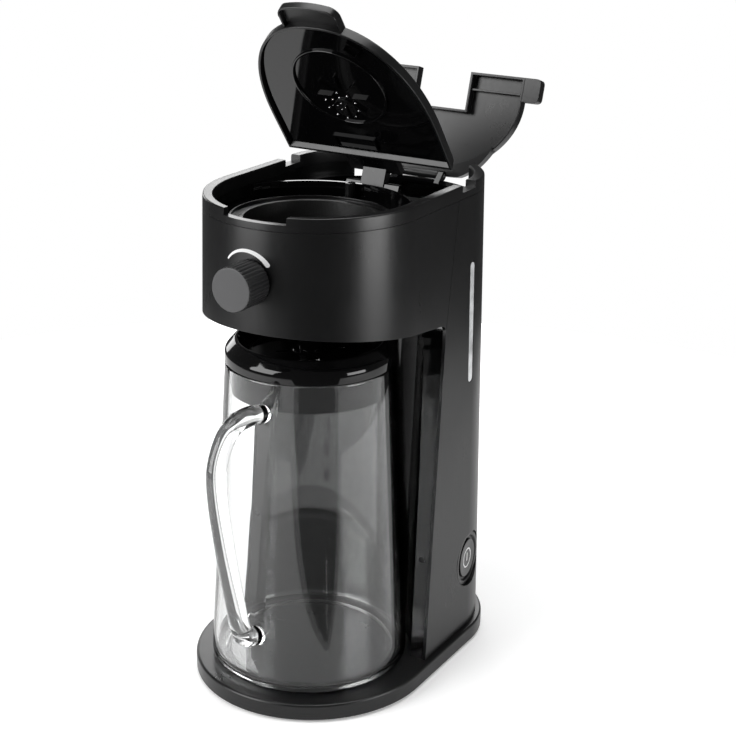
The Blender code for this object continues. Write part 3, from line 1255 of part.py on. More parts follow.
def build_jug(root, finishes):
    """The glass jug with its looped handle."""
    corner = JUG_CORNER
    low = JUG_BOTTOM_Z
    top = low + JUG_HEIGHT
    foot = jug_radius(low)
    outer = [(0, low), (foot - corner, low)]
    outer += [(foot - corner + corner * math.sin(t), low + corner - corner * math.cos(t)) for t in (0.5, 1.0)]
    outer += [(jug_radius(low + corner), low + corner), (JUG_RIM_RADIUS, top)]
    inside = corner - JUG_WALL / 2
    floor = low + JUG_FLOOR
    inner_foot = jug_radius(floor + inside) - JUG_WALL
    inner = [(JUG_RIM_RADIUS - JUG_WALL, top), (inner_foot, floor + inside)]
    inner += [
        (inner_foot - inside + inside * math.sin(t), floor + inside - inside * math.cos(t))
        for t in (1.0, 0.5)
    ]
    inner += [(inner_foot - inside, floor), (0, floor)]
    jug = lathe("jug_glass", outer + inner, finishes["glass"], root, (0, BREW_Y, 0), steps=ROUND_STEPS)
    rise = HANDLE_TOP_Z - HANDLE_BOTTOM_Z
    upper_z = HANDLE_TOP_Z - HANDLE_RADIUS / 2
    route = [(0, -(jug_radius(upper_z) - JUG_WALL / 2), upper_z)]
    route += [(0, -HANDLE_REACH * reach, HANDLE_BOTTOM_Z + rise * up) for reach, up in HANDLE_SHARES]
    route.append((0, -(jug_radius(HANDLE_BOTTOM_Z) - JUG_WALL / 2), HANDLE_BOTTOM_Z - HANDLE_RADIUS / 2))
    join(jug, sweep("handle_guide", smooth_path(route, 3), HANDLE_RADIUS, None, root, 12, (0, BREW_Y, 0)))


def build_jug_lid(root, finishes):
    """The dished jug lid with its collar and central boss."""
    wall = JUG_LID_WALL
    skirt = JUG_RIM_RADIUS - JUG_WALL - FIT_GAP - FIT_GAP / 2
    seat = JUG_TOP_Z + FIT_GAP
    crest = JUG_LID_TOP_Z
    dish = crest - JUG_LID_DISH_DEPTH
    shoulder = JUG_RIM_RADIUS - JUG_LID_SHOULDER_WIDTH
    dish_edge = shoulder - wall - JUG_LID_DISH_SLOPE
    profile = [
        (skirt - wall, seat - JUG_LID_SKIRT_LENGTH), (skirt, seat - JUG_LID_SKIRT_LENGTH), (skirt, seat),
        (JUG_RIM_RADIUS, seat), (JUG_RIM_RADIUS, seat + JUG_LID_FLANGE_HEIGHT), (shoulder, crest),
        (shoulder - wall, crest), (dish_edge, dish), (JUG_LID_COLLAR_RADIUS, dish),
        (JUG_LID_COLLAR_RADIUS - wall / 2, dish + wall / 2), (JUG_LID_BOSS_RADIUS, dish + wall / 2),
        (JUG_LID_BOSS_RADIUS, crest), (0, crest), (0, crest - wall),
        (JUG_LID_BOSS_RADIUS - wall, crest - wall),
        (JUG_LID_BOSS_RADIUS - wall, dish - wall), (dish_edge - wall / 2, dish - wall),
        (shoulder - 1.5 * wall, crest - 1.5 * wall), (shoulder - wall / 2, crest - 1.5 * wall),
        (skirt - wall, seat + wall),
    ]
    lid = lathe("jug_lid", profile, finishes["gloss"], root, (0, BREW_Y, 0), steps=ROUND_STEPS, looped=True)
    half_width = JUG_LID_SLOT_WIDTH / 2
    start = JUG_LID_COLLAR_RADIUS + JUG_LID_SLOT_WIDTH
    for number in range(4):
        slot = block(
            f"jug_lid_slot_guide_{number}", (start, -half_width, dish - 2 * wall),
            (start + JUG_LID_SLOT_LENGTH, half_width, dish + wall), None, root, (0, BREW_Y, 0),
            (0, 0, math.radians(45 + 90 * number)),
        )
        cut(lid, slot)


def build_basket(root, finishes):
    """The brew basket, its filter and the spring-loaded drip valve in its nozzle."""
    at = (0, BREW_Y, 0)
    rim_low = DECK_TOP_Z + FIT_GAP
    rim_high = rim_low + BASKET_RIM_HEIGHT
    step_z = rim_low + BASKET_WALL
    outer_top = DECK_HOLE_RADIUS - BASKET_SIDE_CLEARANCE
    outer_low = outer_top - BASKET_TAPER
    bottom = WELL_BOTTOM_Z + WELL_WALL + BASKET_BOTTOM_CLEARANCE
    floor = bottom + BASKET_WALL
    cavity = NOZZLE_RADIUS - BASKET_WALL
    seat_z = NOZZLE_BOTTOM_Z + BASKET_WALL
    inner_top = outer_top - BASKET_WALL
    inner_low = outer_low - BASKET_WALL
    profile = [
        (VALVE_SEAT_RADIUS, NOZZLE_BOTTOM_Z), (NOZZLE_RADIUS, NOZZLE_BOTTOM_Z), (NOZZLE_RADIUS, bottom),
        (outer_low, bottom), (outer_top, rim_low), (BASKET_RIM_RADIUS, rim_low),
        (BASKET_RIM_RADIUS, rim_high),
        (BASKET_RIM_RADIUS - BASKET_WALL, rim_high), (BASKET_RIM_RADIUS - BASKET_WALL, step_z),
        (inner_top, step_z),
        (inner_low, floor), (NOZZLE_INLET_RADIUS, floor), (NOZZLE_INLET_RADIUS, bottom), (cavity, bottom),
        (cavity, seat_z), (VALVE_SEAT_RADIUS, seat_z),
    ]
    lathe("brew_basket", profile, finishes["satin"], root, at, looped=True)
    filter_low = floor + FIT_GAP
    filter_high = step_z + FIT_GAP
    top_radius = inner_top - 2 * FIT_GAP
    low_radius = inner_low - 2 * FIT_GAP
    profile = [
        (0, filter_low), (low_radius, filter_low), (top_radius, filter_high),
        (top_radius + FILTER_FLANGE, filter_high),
        (top_radius + FILTER_FLANGE, filter_high + FILTER_WALL),
        (top_radius - FILTER_WALL, filter_high + FILTER_WALL),
        (low_radius - FILTER_WALL, filter_low + FILTER_WALL), (0, filter_low + FILTER_WALL),
    ]
    lathe("brew_filter", profile, finishes["mesh"], root, at)
    seal_low = seat_z + FIT_GAP
    seal_high = seal_low + SEAL_THICKNESS
    bore = STEM_RADIUS + FIT_GAP
    seal = [(bore, seal_low), (SEAL_RADIUS, seal_low), (SEAL_RADIUS, seal_high), (bore, seal_high)]
    lathe("drip_valve_seal", seal, finishes["rubber"], root, at, steps=24, looped=True)
    tip = JUG_LID_TOP_Z + STEM_TIP_CLEARANCE
    shoulder = seal_high + FIT_GAP
    collar = 2 * STEM_RADIUS
    stem = [
        (0, tip), (STEM_RADIUS, tip), (STEM_RADIUS, shoulder), (collar, shoulder),
        (collar, shoulder + STEM_RADIUS),
        (STEM_RADIUS, shoulder + STEM_RADIUS), (STEM_RADIUS, shoulder + STEM_TOP_REACH),
        (0, shoulder + STEM_TOP_REACH),
    ]
    lathe("drip_valve_stem", stem, finishes["white"], root, at, steps=SMALL_STEPS)
    low = shoulder + SPRING_WIRE_RADIUS
    high = bottom - FIT_GAP - SPRING_WIRE_RADIUS
    coil = []
    for step in range(10 * SPRING_TURNS + 1):
        angle = math.tau * step / 10
        height = low + (high - low) * step / (10 * SPRING_TURNS)
        coil.append(Vector((SPRING_RADIUS * math.cos(angle), SPRING_RADIUS * math.sin(angle), height)))
    sweep("drip_valve_spring", coil, SPRING_WIRE_RADIUS, finishes["steel"], root, 5, at)


def build_heater(root, finishes):
    """The U-shaped flow heater on its two brackets, with its thermostat and fuse."""
    bend = BOILER_BEND_RADIUS
    path = [Vector((-bend, BOILER_END_Y, BOILER_Z))]
    path += [
        Vector((x, y, BOILER_Z))
        for x, y in arc((0, BOILER_BEND_Y), (bend, bend), 180, 360, SMALL_STEPS)
    ]
    path.append(Vector((bend, BOILER_END_Y, BOILER_Z)))
    sweep("boiler", path, BOILER_RADIUS, finishes["cast"], root, SMALL_STEPS)
    front = BRACKET_Y - BRACKET_LENGTH / 2
    for label, side in (("left", -1), ("right", 1)):
        x = side * bend
        bracket = block(
            f"boiler_bracket_{label}", (x - BRACKET_HALF_WIDTH, front, SHELL_BOTTOM_Z),
            (x + BRACKET_HALF_WIDTH, front + BRACKET_LENGTH, BOILER_Z), finishes["steel"], root,
        )
        saddle = disc(
            f"saddle_guide_{label}", BOILER_RADIUS + FIT_GAP, -BRACKET_LENGTH, BRACKET_LENGTH, None, root,
            (x, BRACKET_Y, BOILER_Z), (math.radians(90), 0, 0), SMALL_STEPS,
        )
        cut(bracket, saddle)
    top = BOILER_Z + BOILER_RADIUS + FIT_GAP
    at = (0, BOILER_BEND_Y - bend, 0)
    disc("thermostat", THERMOSTAT_RADIUS, top, top + THERMOSTAT_HEIGHT, finishes["cast"], root, at, steps=24)
    disc(
        "thermal_fuse", FUSE_RADIUS, -FUSE_LENGTH / 2, FUSE_LENGTH / 2, finishes["white"], root,
        (bend, BOILER_END_Y - FUSE_SETBACK, top + FUSE_RADIUS), (math.radians(90), 0, 0), 12,
    )


def build_water_way(root, finishes):
    """The check valve, the cold and hot hoses and the spout."""
    outlet_low = TANK_BOTTOM_Z - TANK_OUTLET_LENGTH
    valve_top = outlet_low - FIT_GAP
    valve_low = valve_top - CHECK_VALVE_LENGTH
    at = (TANK_OUTLET_X, TANK_OUTLET_Y, 0)
    waist = CHECK_VALVE_RADIUS - CHECK_VALVE_LENGTH / 10
    profile = [
        (0, valve_low), (waist, valve_low), (CHECK_VALVE_RADIUS, valve_low + waist),
        (CHECK_VALVE_RADIUS, valve_top - waist),
        (waist, valve_top), (0, valve_top),
    ]
    lathe("check_valve", profile, finishes["white"], root, at, steps=SMALL_STEPS)
    bend = 3 * HOSE_RADIUS
    end_y = BOILER_END_Y + FIT_GAP
    inlet_x = BOILER_BEND_RADIUS
    cold = [
        (inlet_x, end_y, BOILER_Z), (inlet_x, end_y + bend / 2, BOILER_Z),
        (inlet_x, end_y + bend, BOILER_Z + bend / 2),
        ((inlet_x + TANK_OUTLET_X) / 2, end_y + bend / 2, (BOILER_Z + valve_low) / 2),
        (TANK_OUTLET_X, TANK_OUTLET_Y, valve_low - bend), (TANK_OUTLET_X, TANK_OUTLET_Y, valve_low - FIT_GAP),
    ]
    sweep("cold_hose", smooth_path(cold, 5), HOSE_RADIUS, finishes["silicone"], root)
    spout_low = DECK_BOTTOM_Z - SPOUT_TAIL
    turn_z = DECK_BOTTOM_Z - HOSE_UNDER_DECK - bend
    riser_x = -HOSE_RISER_X
    riser_low = TANK_BOTTOM_Z + bend
    under = TANK_BOTTOM_Z - bend
    hot = [
        (-inlet_x, end_y, BOILER_Z), (-inlet_x, end_y + bend / 2, BOILER_Z),
        (-inlet_x - bend, end_y + bend, BOILER_Z + bend),
        ((riser_x - inlet_x) / 2 - bend, end_y - bend, under - bend),
        (riser_x, (end_y + HOSE_RISER_Y) / 2, under), (riser_x, HOSE_RISER_Y + HOSE_RADIUS, under + bend / 2),
        (riser_x, HOSE_RISER_Y, riser_low), (riser_x, HOSE_RISER_Y, turn_z - bend),
        (riser_x + bend, HOSE_RISER_Y, turn_z + bend / 2), (riser_x / 2, HOSE_RISER_Y, turn_z + bend / 2),
        (SPOUT_X - bend, (HOSE_RISER_Y + SPOUT_Y) / 2, turn_z), (SPOUT_X, SPOUT_Y, turn_z + bend / 2),
        (SPOUT_X, SPOUT_Y, spout_low - FIT_GAP),
    ]
    sweep("hot_hose", smooth_path(hot, 3), HOSE_RADIUS, finishes["silicone"], root)
    flange_low = DECK_TOP_Z + FIT_GAP
    flange_high = flange_low + SPOUT_FLANGE
    flange_radius = SPOUT_RADIUS + SPOUT_FLANGE
    spout_high = DECK_TOP_Z + SPOUT_HEIGHT
    profile = [
        (SPOUT_BORE, spout_low), (SPOUT_RADIUS, spout_low), (SPOUT_RADIUS, flange_low),
        (flange_radius, flange_low),
        (flange_radius, flange_high), (SPOUT_RADIUS, flange_high), (SPOUT_RADIUS, spout_high),
        (SPOUT_BORE, spout_high),
    ]
    lathe(
        "water_spout", profile, finishes["satin"], root, (SPOUT_X, SPOUT_Y, 0), steps=SMALL_STEPS,
        looped=True,
    )


def build_wiring(root, finishes, power_axis):
    """The terminal block behind the gland and the leads to the switch and the thermostat."""
    top = SHELL_BOTTOM_Z + TERMINAL_HEIGHT
    half_length = TERMINAL_LENGTH / 2
    half_width = TERMINAL_WIDTH / 2
    block(
        "terminal_block", (TERMINAL_X - half_length, TERMINAL_Y - half_width, SHELL_BOTTOM_Z),
        (TERMINAL_X + half_length, TERMINAL_Y + half_width, top), finishes["white"], root,
    )
    bend = 4 * LEAD_RADIUS
    thermostat_top = BOILER_Z + BOILER_RADIUS + FIT_GAP + THERMOSTAT_HEIGHT
    heater_y = BOILER_BEND_Y - BOILER_BEND_RADIUS
    heater_lead = [
        (TERMINAL_X, TERMINAL_Y, top + FIT_GAP), (TERMINAL_X, TERMINAL_Y, top + bend),
        (TERMINAL_X, BOILER_BEND_Y, thermostat_top + bend),
        (TERMINAL_X / 2, heater_y, thermostat_top + 2 * bend),
        (0, heater_y, thermostat_top + bend), (0, heater_y, thermostat_top + FIT_GAP),
    ]
    sweep("heater_lead", smooth_path(heater_lead, 5), LEAD_RADIUS, finishes["lead"], root, 6)
    switch_back = BUTTON_THICKNESS + BUTTON_TRAVEL + FIT_GAP + SWITCH_PLUNGER_LENGTH + SWITCH_LENGTH + FIT_GAP
    tilt = math.radians(POWER_TILT)
    outward = Vector((math.cos(tilt), math.sin(tilt), 0))
    end = Vector(power_axis.location) - outward * switch_back
    near = end - outward * bend
    start = Vector((TERMINAL_X + half_length / 2, TERMINAL_Y, top + FIT_GAP))
    lift = Vector((0, 0, bend))
    risen = Vector((start.x, TERMINAL_Y, thermostat_top))
    middle = Vector((0, TANK_OUTLET_Y - LEAD_HOSE_CLEARANCE, thermostat_top + 2 * bend))
    switch_lead = [start, start + lift, risen, middle, near, end]
    sweep("switch_lead", smooth_path(switch_lead, 5), LEAD_RADIUS, finishes["lead"], root, 6)


def rear_reach():
    """How far back the open tank lid reaches, from its front top edge turned by the open angle."""
    angle = math.radians(TANK_LID_OPEN_ANGLE)
    depth = TANK_HINGE_Y - TANK_LID_FRONT_Y
    height = TANK_LID_LIFT + TANK_LID_HEIGHT
    return TANK_HINGE_Y - depth * math.cos(angle) + height * math.sin(angle)


def make_finishes():
    """The materials of the pieces, by name."""
    return {
        "satin": make_finish("satin_black", (0.018, 0.018, 0.019), 0.38),
        "gloss": make_finish("gloss_black", (0.008, 0.008, 0.009), 0.12),
        "dial": make_finish("dial_grey", (0.07, 0.07, 0.07), 0.5),
        "rubber": make_finish("rubber_black", (0.02, 0.02, 0.02), 0.8),
        "steel": make_finish("steel", (0.55, 0.55, 0.56), 0.3, 1.0),
        "cast": make_finish("cast_aluminium", (0.6, 0.6, 0.61), 0.45, 1.0),
        "glass": make_finish("clear_glass", (0.95, 0.97, 0.97), 0.02, 0.0, 1.0),
        "window": make_finish("clear_plastic", (0.75, 0.78, 0.8), 0.15, 0.0, 0.8),
        "white": make_finish("white_nylon", (0.75, 0.75, 0.73), 0.5),
        "mesh": make_finish("filter_mesh", (0.5, 0.5, 0.5), 0.4, 0.8),
        "silicone": make_finish("silicone_hose", (0.7, 0.7, 0.68), 0.55),
        "lead": make_finish("lead_insulation", (0.6, 0.6, 0.58), 0.6),
    }


def main():
    """Builds every piece under the root empty."""
    clear_scene()
    finishes = make_finishes()
    front_reach = BREW_Y - HANDLE_REACH - HANDLE_RADIUS
    root = empty("iced_tea_maker", None, (0, -(front_reach + rear_reach()) / 2, 0))
    dial_y = -(BODY_FRONT_DEPTH + BODY_DRAFT_SHARE * (RIM_TOP_Z - DIAL_Z))
    dial_axis = empty("dial_axis", root, (0, dial_y, DIAL_Z), (math.radians(90), 0, 0))
    power_x = side_x(POWER_Y, POWER_Z) - POWER_RECESS
    power_axis = empty(
        "power_axis", root, (power_x, POWER_Y, POWER_Z), (0, math.radians(90), math.radians(POWER_TILT)),
    )
    build_base(root, finishes)
    build_rear_housing(root, finishes, power_axis)
    build_head_shell(root, finishes, dial_axis)
    build_head_underside(root, finishes)
    build_column_panel(root, finishes)
    build_top_ring(root, finishes)
    build_deck(root, finishes)
    build_brew_well(root, finishes)
    build_front_lid(root, finishes)
    build_tank_lid(root, finishes)
    build_tank(root, finishes)
    build_dial(root, finishes, dial_axis)
    build_power_button(finishes, power_axis)
    build_jug(root, finishes)
    build_jug_lid(root, finishes)
    build_basket(root, finishes)
    build_heater(root, finishes)
    build_water_way(root, finishes)
    build_wiring(root, finishes, power_axis)


main()
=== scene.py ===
"""A studio scene of an iced tea maker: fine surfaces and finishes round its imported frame.

Metres, +Z up, the front faces -Y. Forms are worked out in the plan frame, whose Y starts at the middle of
the head's round front; the forge moves each finished mesh into the row frame.
"""

import json
import logging
import math
from collections.abc import Callable
from dataclasses import dataclass, field
from enum import Enum

import bmesh
import bpy
import numpy as np
from mathutils import Matrix, Vector

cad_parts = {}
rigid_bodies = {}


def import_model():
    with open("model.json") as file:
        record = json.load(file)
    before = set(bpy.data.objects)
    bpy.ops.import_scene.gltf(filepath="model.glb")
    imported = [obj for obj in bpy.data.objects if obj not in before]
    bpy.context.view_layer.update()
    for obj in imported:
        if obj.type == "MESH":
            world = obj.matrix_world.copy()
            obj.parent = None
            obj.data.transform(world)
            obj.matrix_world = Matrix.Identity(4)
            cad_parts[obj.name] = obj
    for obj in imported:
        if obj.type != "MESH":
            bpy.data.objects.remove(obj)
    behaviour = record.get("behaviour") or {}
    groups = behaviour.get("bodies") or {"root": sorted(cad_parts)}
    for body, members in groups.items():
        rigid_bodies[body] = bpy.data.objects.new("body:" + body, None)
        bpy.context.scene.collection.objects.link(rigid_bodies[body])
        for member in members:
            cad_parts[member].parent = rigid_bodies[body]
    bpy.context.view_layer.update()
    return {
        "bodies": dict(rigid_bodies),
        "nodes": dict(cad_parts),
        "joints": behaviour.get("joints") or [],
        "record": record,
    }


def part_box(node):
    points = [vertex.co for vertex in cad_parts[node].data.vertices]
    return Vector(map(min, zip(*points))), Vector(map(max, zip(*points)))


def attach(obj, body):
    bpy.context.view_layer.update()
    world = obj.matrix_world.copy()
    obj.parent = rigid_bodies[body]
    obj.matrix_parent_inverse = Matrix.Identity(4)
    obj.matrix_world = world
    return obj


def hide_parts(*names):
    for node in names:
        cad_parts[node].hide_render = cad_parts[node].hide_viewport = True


LOG = logging.getLogger("iced_tea_maker")
Numbers = np.ndarray | list | tuple | float
Pair = tuple[float, float]
Point = tuple[float, float, float]
FULL_TURN = 2 * math.pi
Z_TO_X = Matrix.Rotation(math.pi / 2, 4, "Y")
Z_TO_FRONT = Matrix.Rotation(math.pi / 2, 4, "X")
TOUCH = 1e-6


class Slot(Enum):
    """The record's material slots."""

    SATIN = "satin_black"
    GLOSS = "gloss_black"
    DIAL = "dial_grey"
    RUBBER = "rubber_black"
    STEEL = "steel"
    CAST = "cast_aluminium"
    GLASS = "clear_glass"
    PLASTIC = "clear_plastic"
    NYLON = "white_nylon"
    MESH = "filter_mesh"
    HOSE = "silicone_hose"
    LEAD = "lead_insulation"


class Rider(Enum):
    """The moving bodies of the frame."""

    HOUSING = "housing"
    FRONT_LID = "front_lid"
    REAR_LID = "rear_lid"
    DIAL = "dial"
    BUTTON = "button"
    JUG = "jug"
    JUG_COVER = "jug_cover"
    BASKET = "basket"


class Operation(Enum):
    """How a tool form acts on a piece."""

    CUT = "DIFFERENCE"
    JOIN = "UNION"


def fillet(path: Numbers, radii: Numbers, steps: int = 5, closed: bool = False) -> np.ndarray:
    """Rounds the corners of a path of any dimension.

    A corner C between points A and B on its two legs becomes (1-t)^2 A + 2t(1-t) C + t^2 B, where A and B
    lie a radius away from C, and at most half of a leg.

    Args:
        path: One row for each corner.
        radii: The reach of each corner's curve, one for all or one each.
        steps: Spans along each corner.
        closed: Whether the last corner joins the first.

    Returns:
        The rounded path, one row for each point.
    """
    path = np.asarray(path, float)
    reach = np.broadcast_to(np.asarray(radii, float), (len(path),))

    def leg(other: np.ndarray) -> np.ndarray:
        """The points a reach away from the corners towards others."""
        way = other - path
        length = np.maximum(np.linalg.norm(way, axis=1), TOUCH)
        return path + way * np.minimum(reach / length, 0.49)[:, None]

    t = np.linspace(0, 1, steps + 1)[None, :, None]
    start, end = leg(np.roll(path, 1, 0))[:, None], leg(np.roll(path, -1, 0))[:, None]
    curve = (1 - t) ** 2 * start + 2 * t * (1 - t) * path[:, None] + t**2 * end
    if not closed:
        curve[0], curve[-1] = path[0], path[-1]
    points = curve.reshape(-1, path.shape[1])
    apart = np.linalg.norm(points - np.roll(points, 1, 0), axis=1) > TOUCH
    apart[0] = apart[0] or not closed
    return points[apart]


def smooth_path(knots: np.ndarray, steps: int) -> np.ndarray:
    """A smooth curve through knots.

    Each span is a cubic Bezier curve whose handles are a third of the span long and follow the line
    between the knots before and after.

    Args:
        knots: The points that the curve passes.
        steps: Points along each span.

    Returns:
        The curve's points, with both ends.
    """
    knots = np.asarray(knots, float)
    ways = np.vstack([knots[1:], knots[-1:]]) - np.vstack([knots[:1], knots[:-1]])
    ways /= np.linalg.norm(ways, axis=1)[:, None]
    reach = np.linalg.norm(np.diff(knots, axis=0), axis=1)[:, None] / 3
    start, end = knots[:-1], knots[1:]
    first, second = start + ways[:-1] * reach, end - ways[1:] * reach
    t = np.arange(steps)[None, :, None] / steps
    start, first, second, end = (points[:, None] for points in (start, first, second, end))
    curve = (1 - t) ** 3 * start + 3 * t * (1 - t) ** 2 * first + 3 * t**2 * (1 - t) * second + t**3 * end
    return np.vstack([curve.reshape(-1, 3), knots[-1:]])


@dataclass
class Form:
    """The points and faces of one or more closed surfaces."""

    points: np.ndarray
    faces: list[tuple[int, ...]]

    def __add__(self, other: "Form") -> "Form":
        """Both forms as one."""
        count = len(self.points)
        moved = [tuple(corner + count for corner in face) for face in other.faces]
        return Form(np.vstack([self.points, other.points]), self.faces + moved)

    def moved(self, offset: Point) -> "Form":
        """The form moved by an offset."""
        return Form(self.points + np.asarray(offset, float), self.faces)

    def turned(self, matrix: Matrix) -> "Form":
        """The form turned and moved by a 4 by 4 matrix."""
        turn = np.array(matrix, float)
        return Form(self.points @ turn[:3, :3].T + turn[:3, 3], self.faces)

    @staticmethod
    def quads(rows: int, columns: int, loop_rows: bool, loop_columns: bool, start: int = 0) -> np.ndarray:
        """The four corners of each cell of a grid.

        Args:
            rows: Rows of points.
            columns: Points in a row.
            loop_rows: Whether the last row joins the first.
            loop_columns: Whether a row's last point joins its first.
            start: The number of the grid's first point.

        Returns:
            An array of four point numbers for each cell.
        """
        row = np.arange(rows if loop_rows else rows - 1)[:, None]
        column = np.arange(columns if loop_columns else columns - 1)[None, :]
        above, after = (row + 1) % rows, (column + 1) % columns
        corners = [row * columns + column, row * columns + after, above * columns + after]
        corners.append(above * columns + column)
        return np.stack([np.broadcast_to(c, corners[0].shape) for c in corners], -1).reshape(-1, 4) + start

    @classmethod
    def tube_of_rows(cls, points: np.ndarray, looped: bool = False) -> "Form":
        """Joins rows of points that each close on themselves.

        Args:
            points: An array of rows by columns by 3.
            looped: Whether the last row joins the first; otherwise both are capped.

        Returns:
            The closed form.
        """
        rows, columns, _ = points.shape
        faces = [tuple(face) for face in cls.quads(rows, columns, looped, True).tolist()]
        if not looped:
            last = (rows - 1) * columns
            caps = [tuple(range(columns))[::-1], tuple(range(last, last + columns))]
            spans = [np.ptp(points[row], axis=0).max() for row in (0, -1)]
            faces += [cap for cap, span in zip(caps, spans) if span > TOUCH]
        return cls(points.reshape(-1, 3), faces)

    @classmethod
    def shell(cls, outer: np.ndarray, inner: np.ndarray) -> "Form":
        """A wall between two open grids of the same shape, closed round its four borders.

        Args:
            outer: Rows by columns by 3 points of the outer surface.
            inner: The same points on the inner surface.

        Returns:
            The closed form.
        """
        rows, columns, _ = outer.shape
        count = rows * columns
        number = np.arange(count).reshape(rows, columns)
        border = np.concatenate([number[0, :-1], number[:-1, -1], number[-1, :0:-1], number[:0:-1, 0]])
        after = np.roll(border, -1)
        strip = np.stack([border, border + count, after + count, after], -1)
        front = cls.quads(rows, columns, False, False)
        back = cls.quads(rows, columns, False, False, count)[:, ::-1]
        faces = np.vstack([front, back, strip]).tolist()
        return cls(np.vstack([outer.reshape(-1, 3), inner.reshape(-1, 3)]), [tuple(f) for f in faces])

    @classmethod
    def lathe(cls, profile: np.ndarray, steps: int = 96, looped: bool = False) -> "Form":
        """Turns a profile about Z: (r cos a, r sin a, z) over the profile's points and a full turn of a.

        Args:
            profile: Rows of radius and height.
            steps: Spans in the full turn.
            looped: Whether the profile closes on itself.

        Returns:
            The closed form.
        """
        profile = np.asarray(profile, float)
        angle = np.linspace(0, FULL_TURN, steps, endpoint=False)
        radius, height = profile[:, :1], profile[:, 1:]
        rows = np.stack(
            [radius * np.cos(angle), radius * np.sin(angle), np.broadcast_to(height, (len(profile), steps))], -1
        )
        return cls.tube_of_rows(rows, looped)

    @classmethod
    def rod(cls, path: np.ndarray, radii: np.ndarray | float, steps: int = 24) -> "Form":
        """A round rod along a path in a plane square to X.

        At each point of the path the ring is radius (cos a X + sin a U), with U square to X and the path.

        Args:
            path: The path's points.
            radii: The rod's radius, one for all or one for each point.
            steps: Spans round the rod.

        Returns:
            The closed form with flat ends.
        """
        along = np.gradient(path, axis=0)
        along /= np.linalg.norm(along, axis=1)[:, None]
        across = np.broadcast_to(np.array([1.0, 0, 0]), path.shape)
        up = np.cross(along, across)
        angle = np.linspace(0, FULL_TURN, steps, endpoint=False)[None, :, None]
        ring = np.cos(angle) * across[:, None] + np.sin(angle) * up[:, None]
        return cls.tube_of_rows(path[:, None] + ring * np.broadcast_to(radii, len(path))[:, None, None])

    @classmethod
    def prism(cls, outline: np.ndarray, low: float, high: float, axis: int = 2) -> "Form":
        """A flat outline carried between two places along an axis.

        Args:
            outline: Rows of the two coordinates square to the axis, in their order.
            low: Where the form starts along the axis.
            high: Where it ends.
            axis: 0 for X, 1 for Y, 2 for Z.

        Returns:
            The closed form.
        """
        outline = np.asarray(outline, float)
        rows = [np.insert(outline, axis, place, axis=1) for place in (low, high)]
        return cls.tube_of_rows(np.stack(rows))

    @classmethod
    def block(cls, low: tuple, high: tuple, edge: float = 0.0) -> "Form":
        """A box between two corners, its upright edges rounded where an edge size is given."""
        outline = np.array([(low[0], low[1]), (high[0], low[1]), (high[0], high[1]), (low[0], high[1])])
        if edge:
            outline = fillet(outline, edge, 4, True)
        return cls.prism(outline, low[2], high[2])


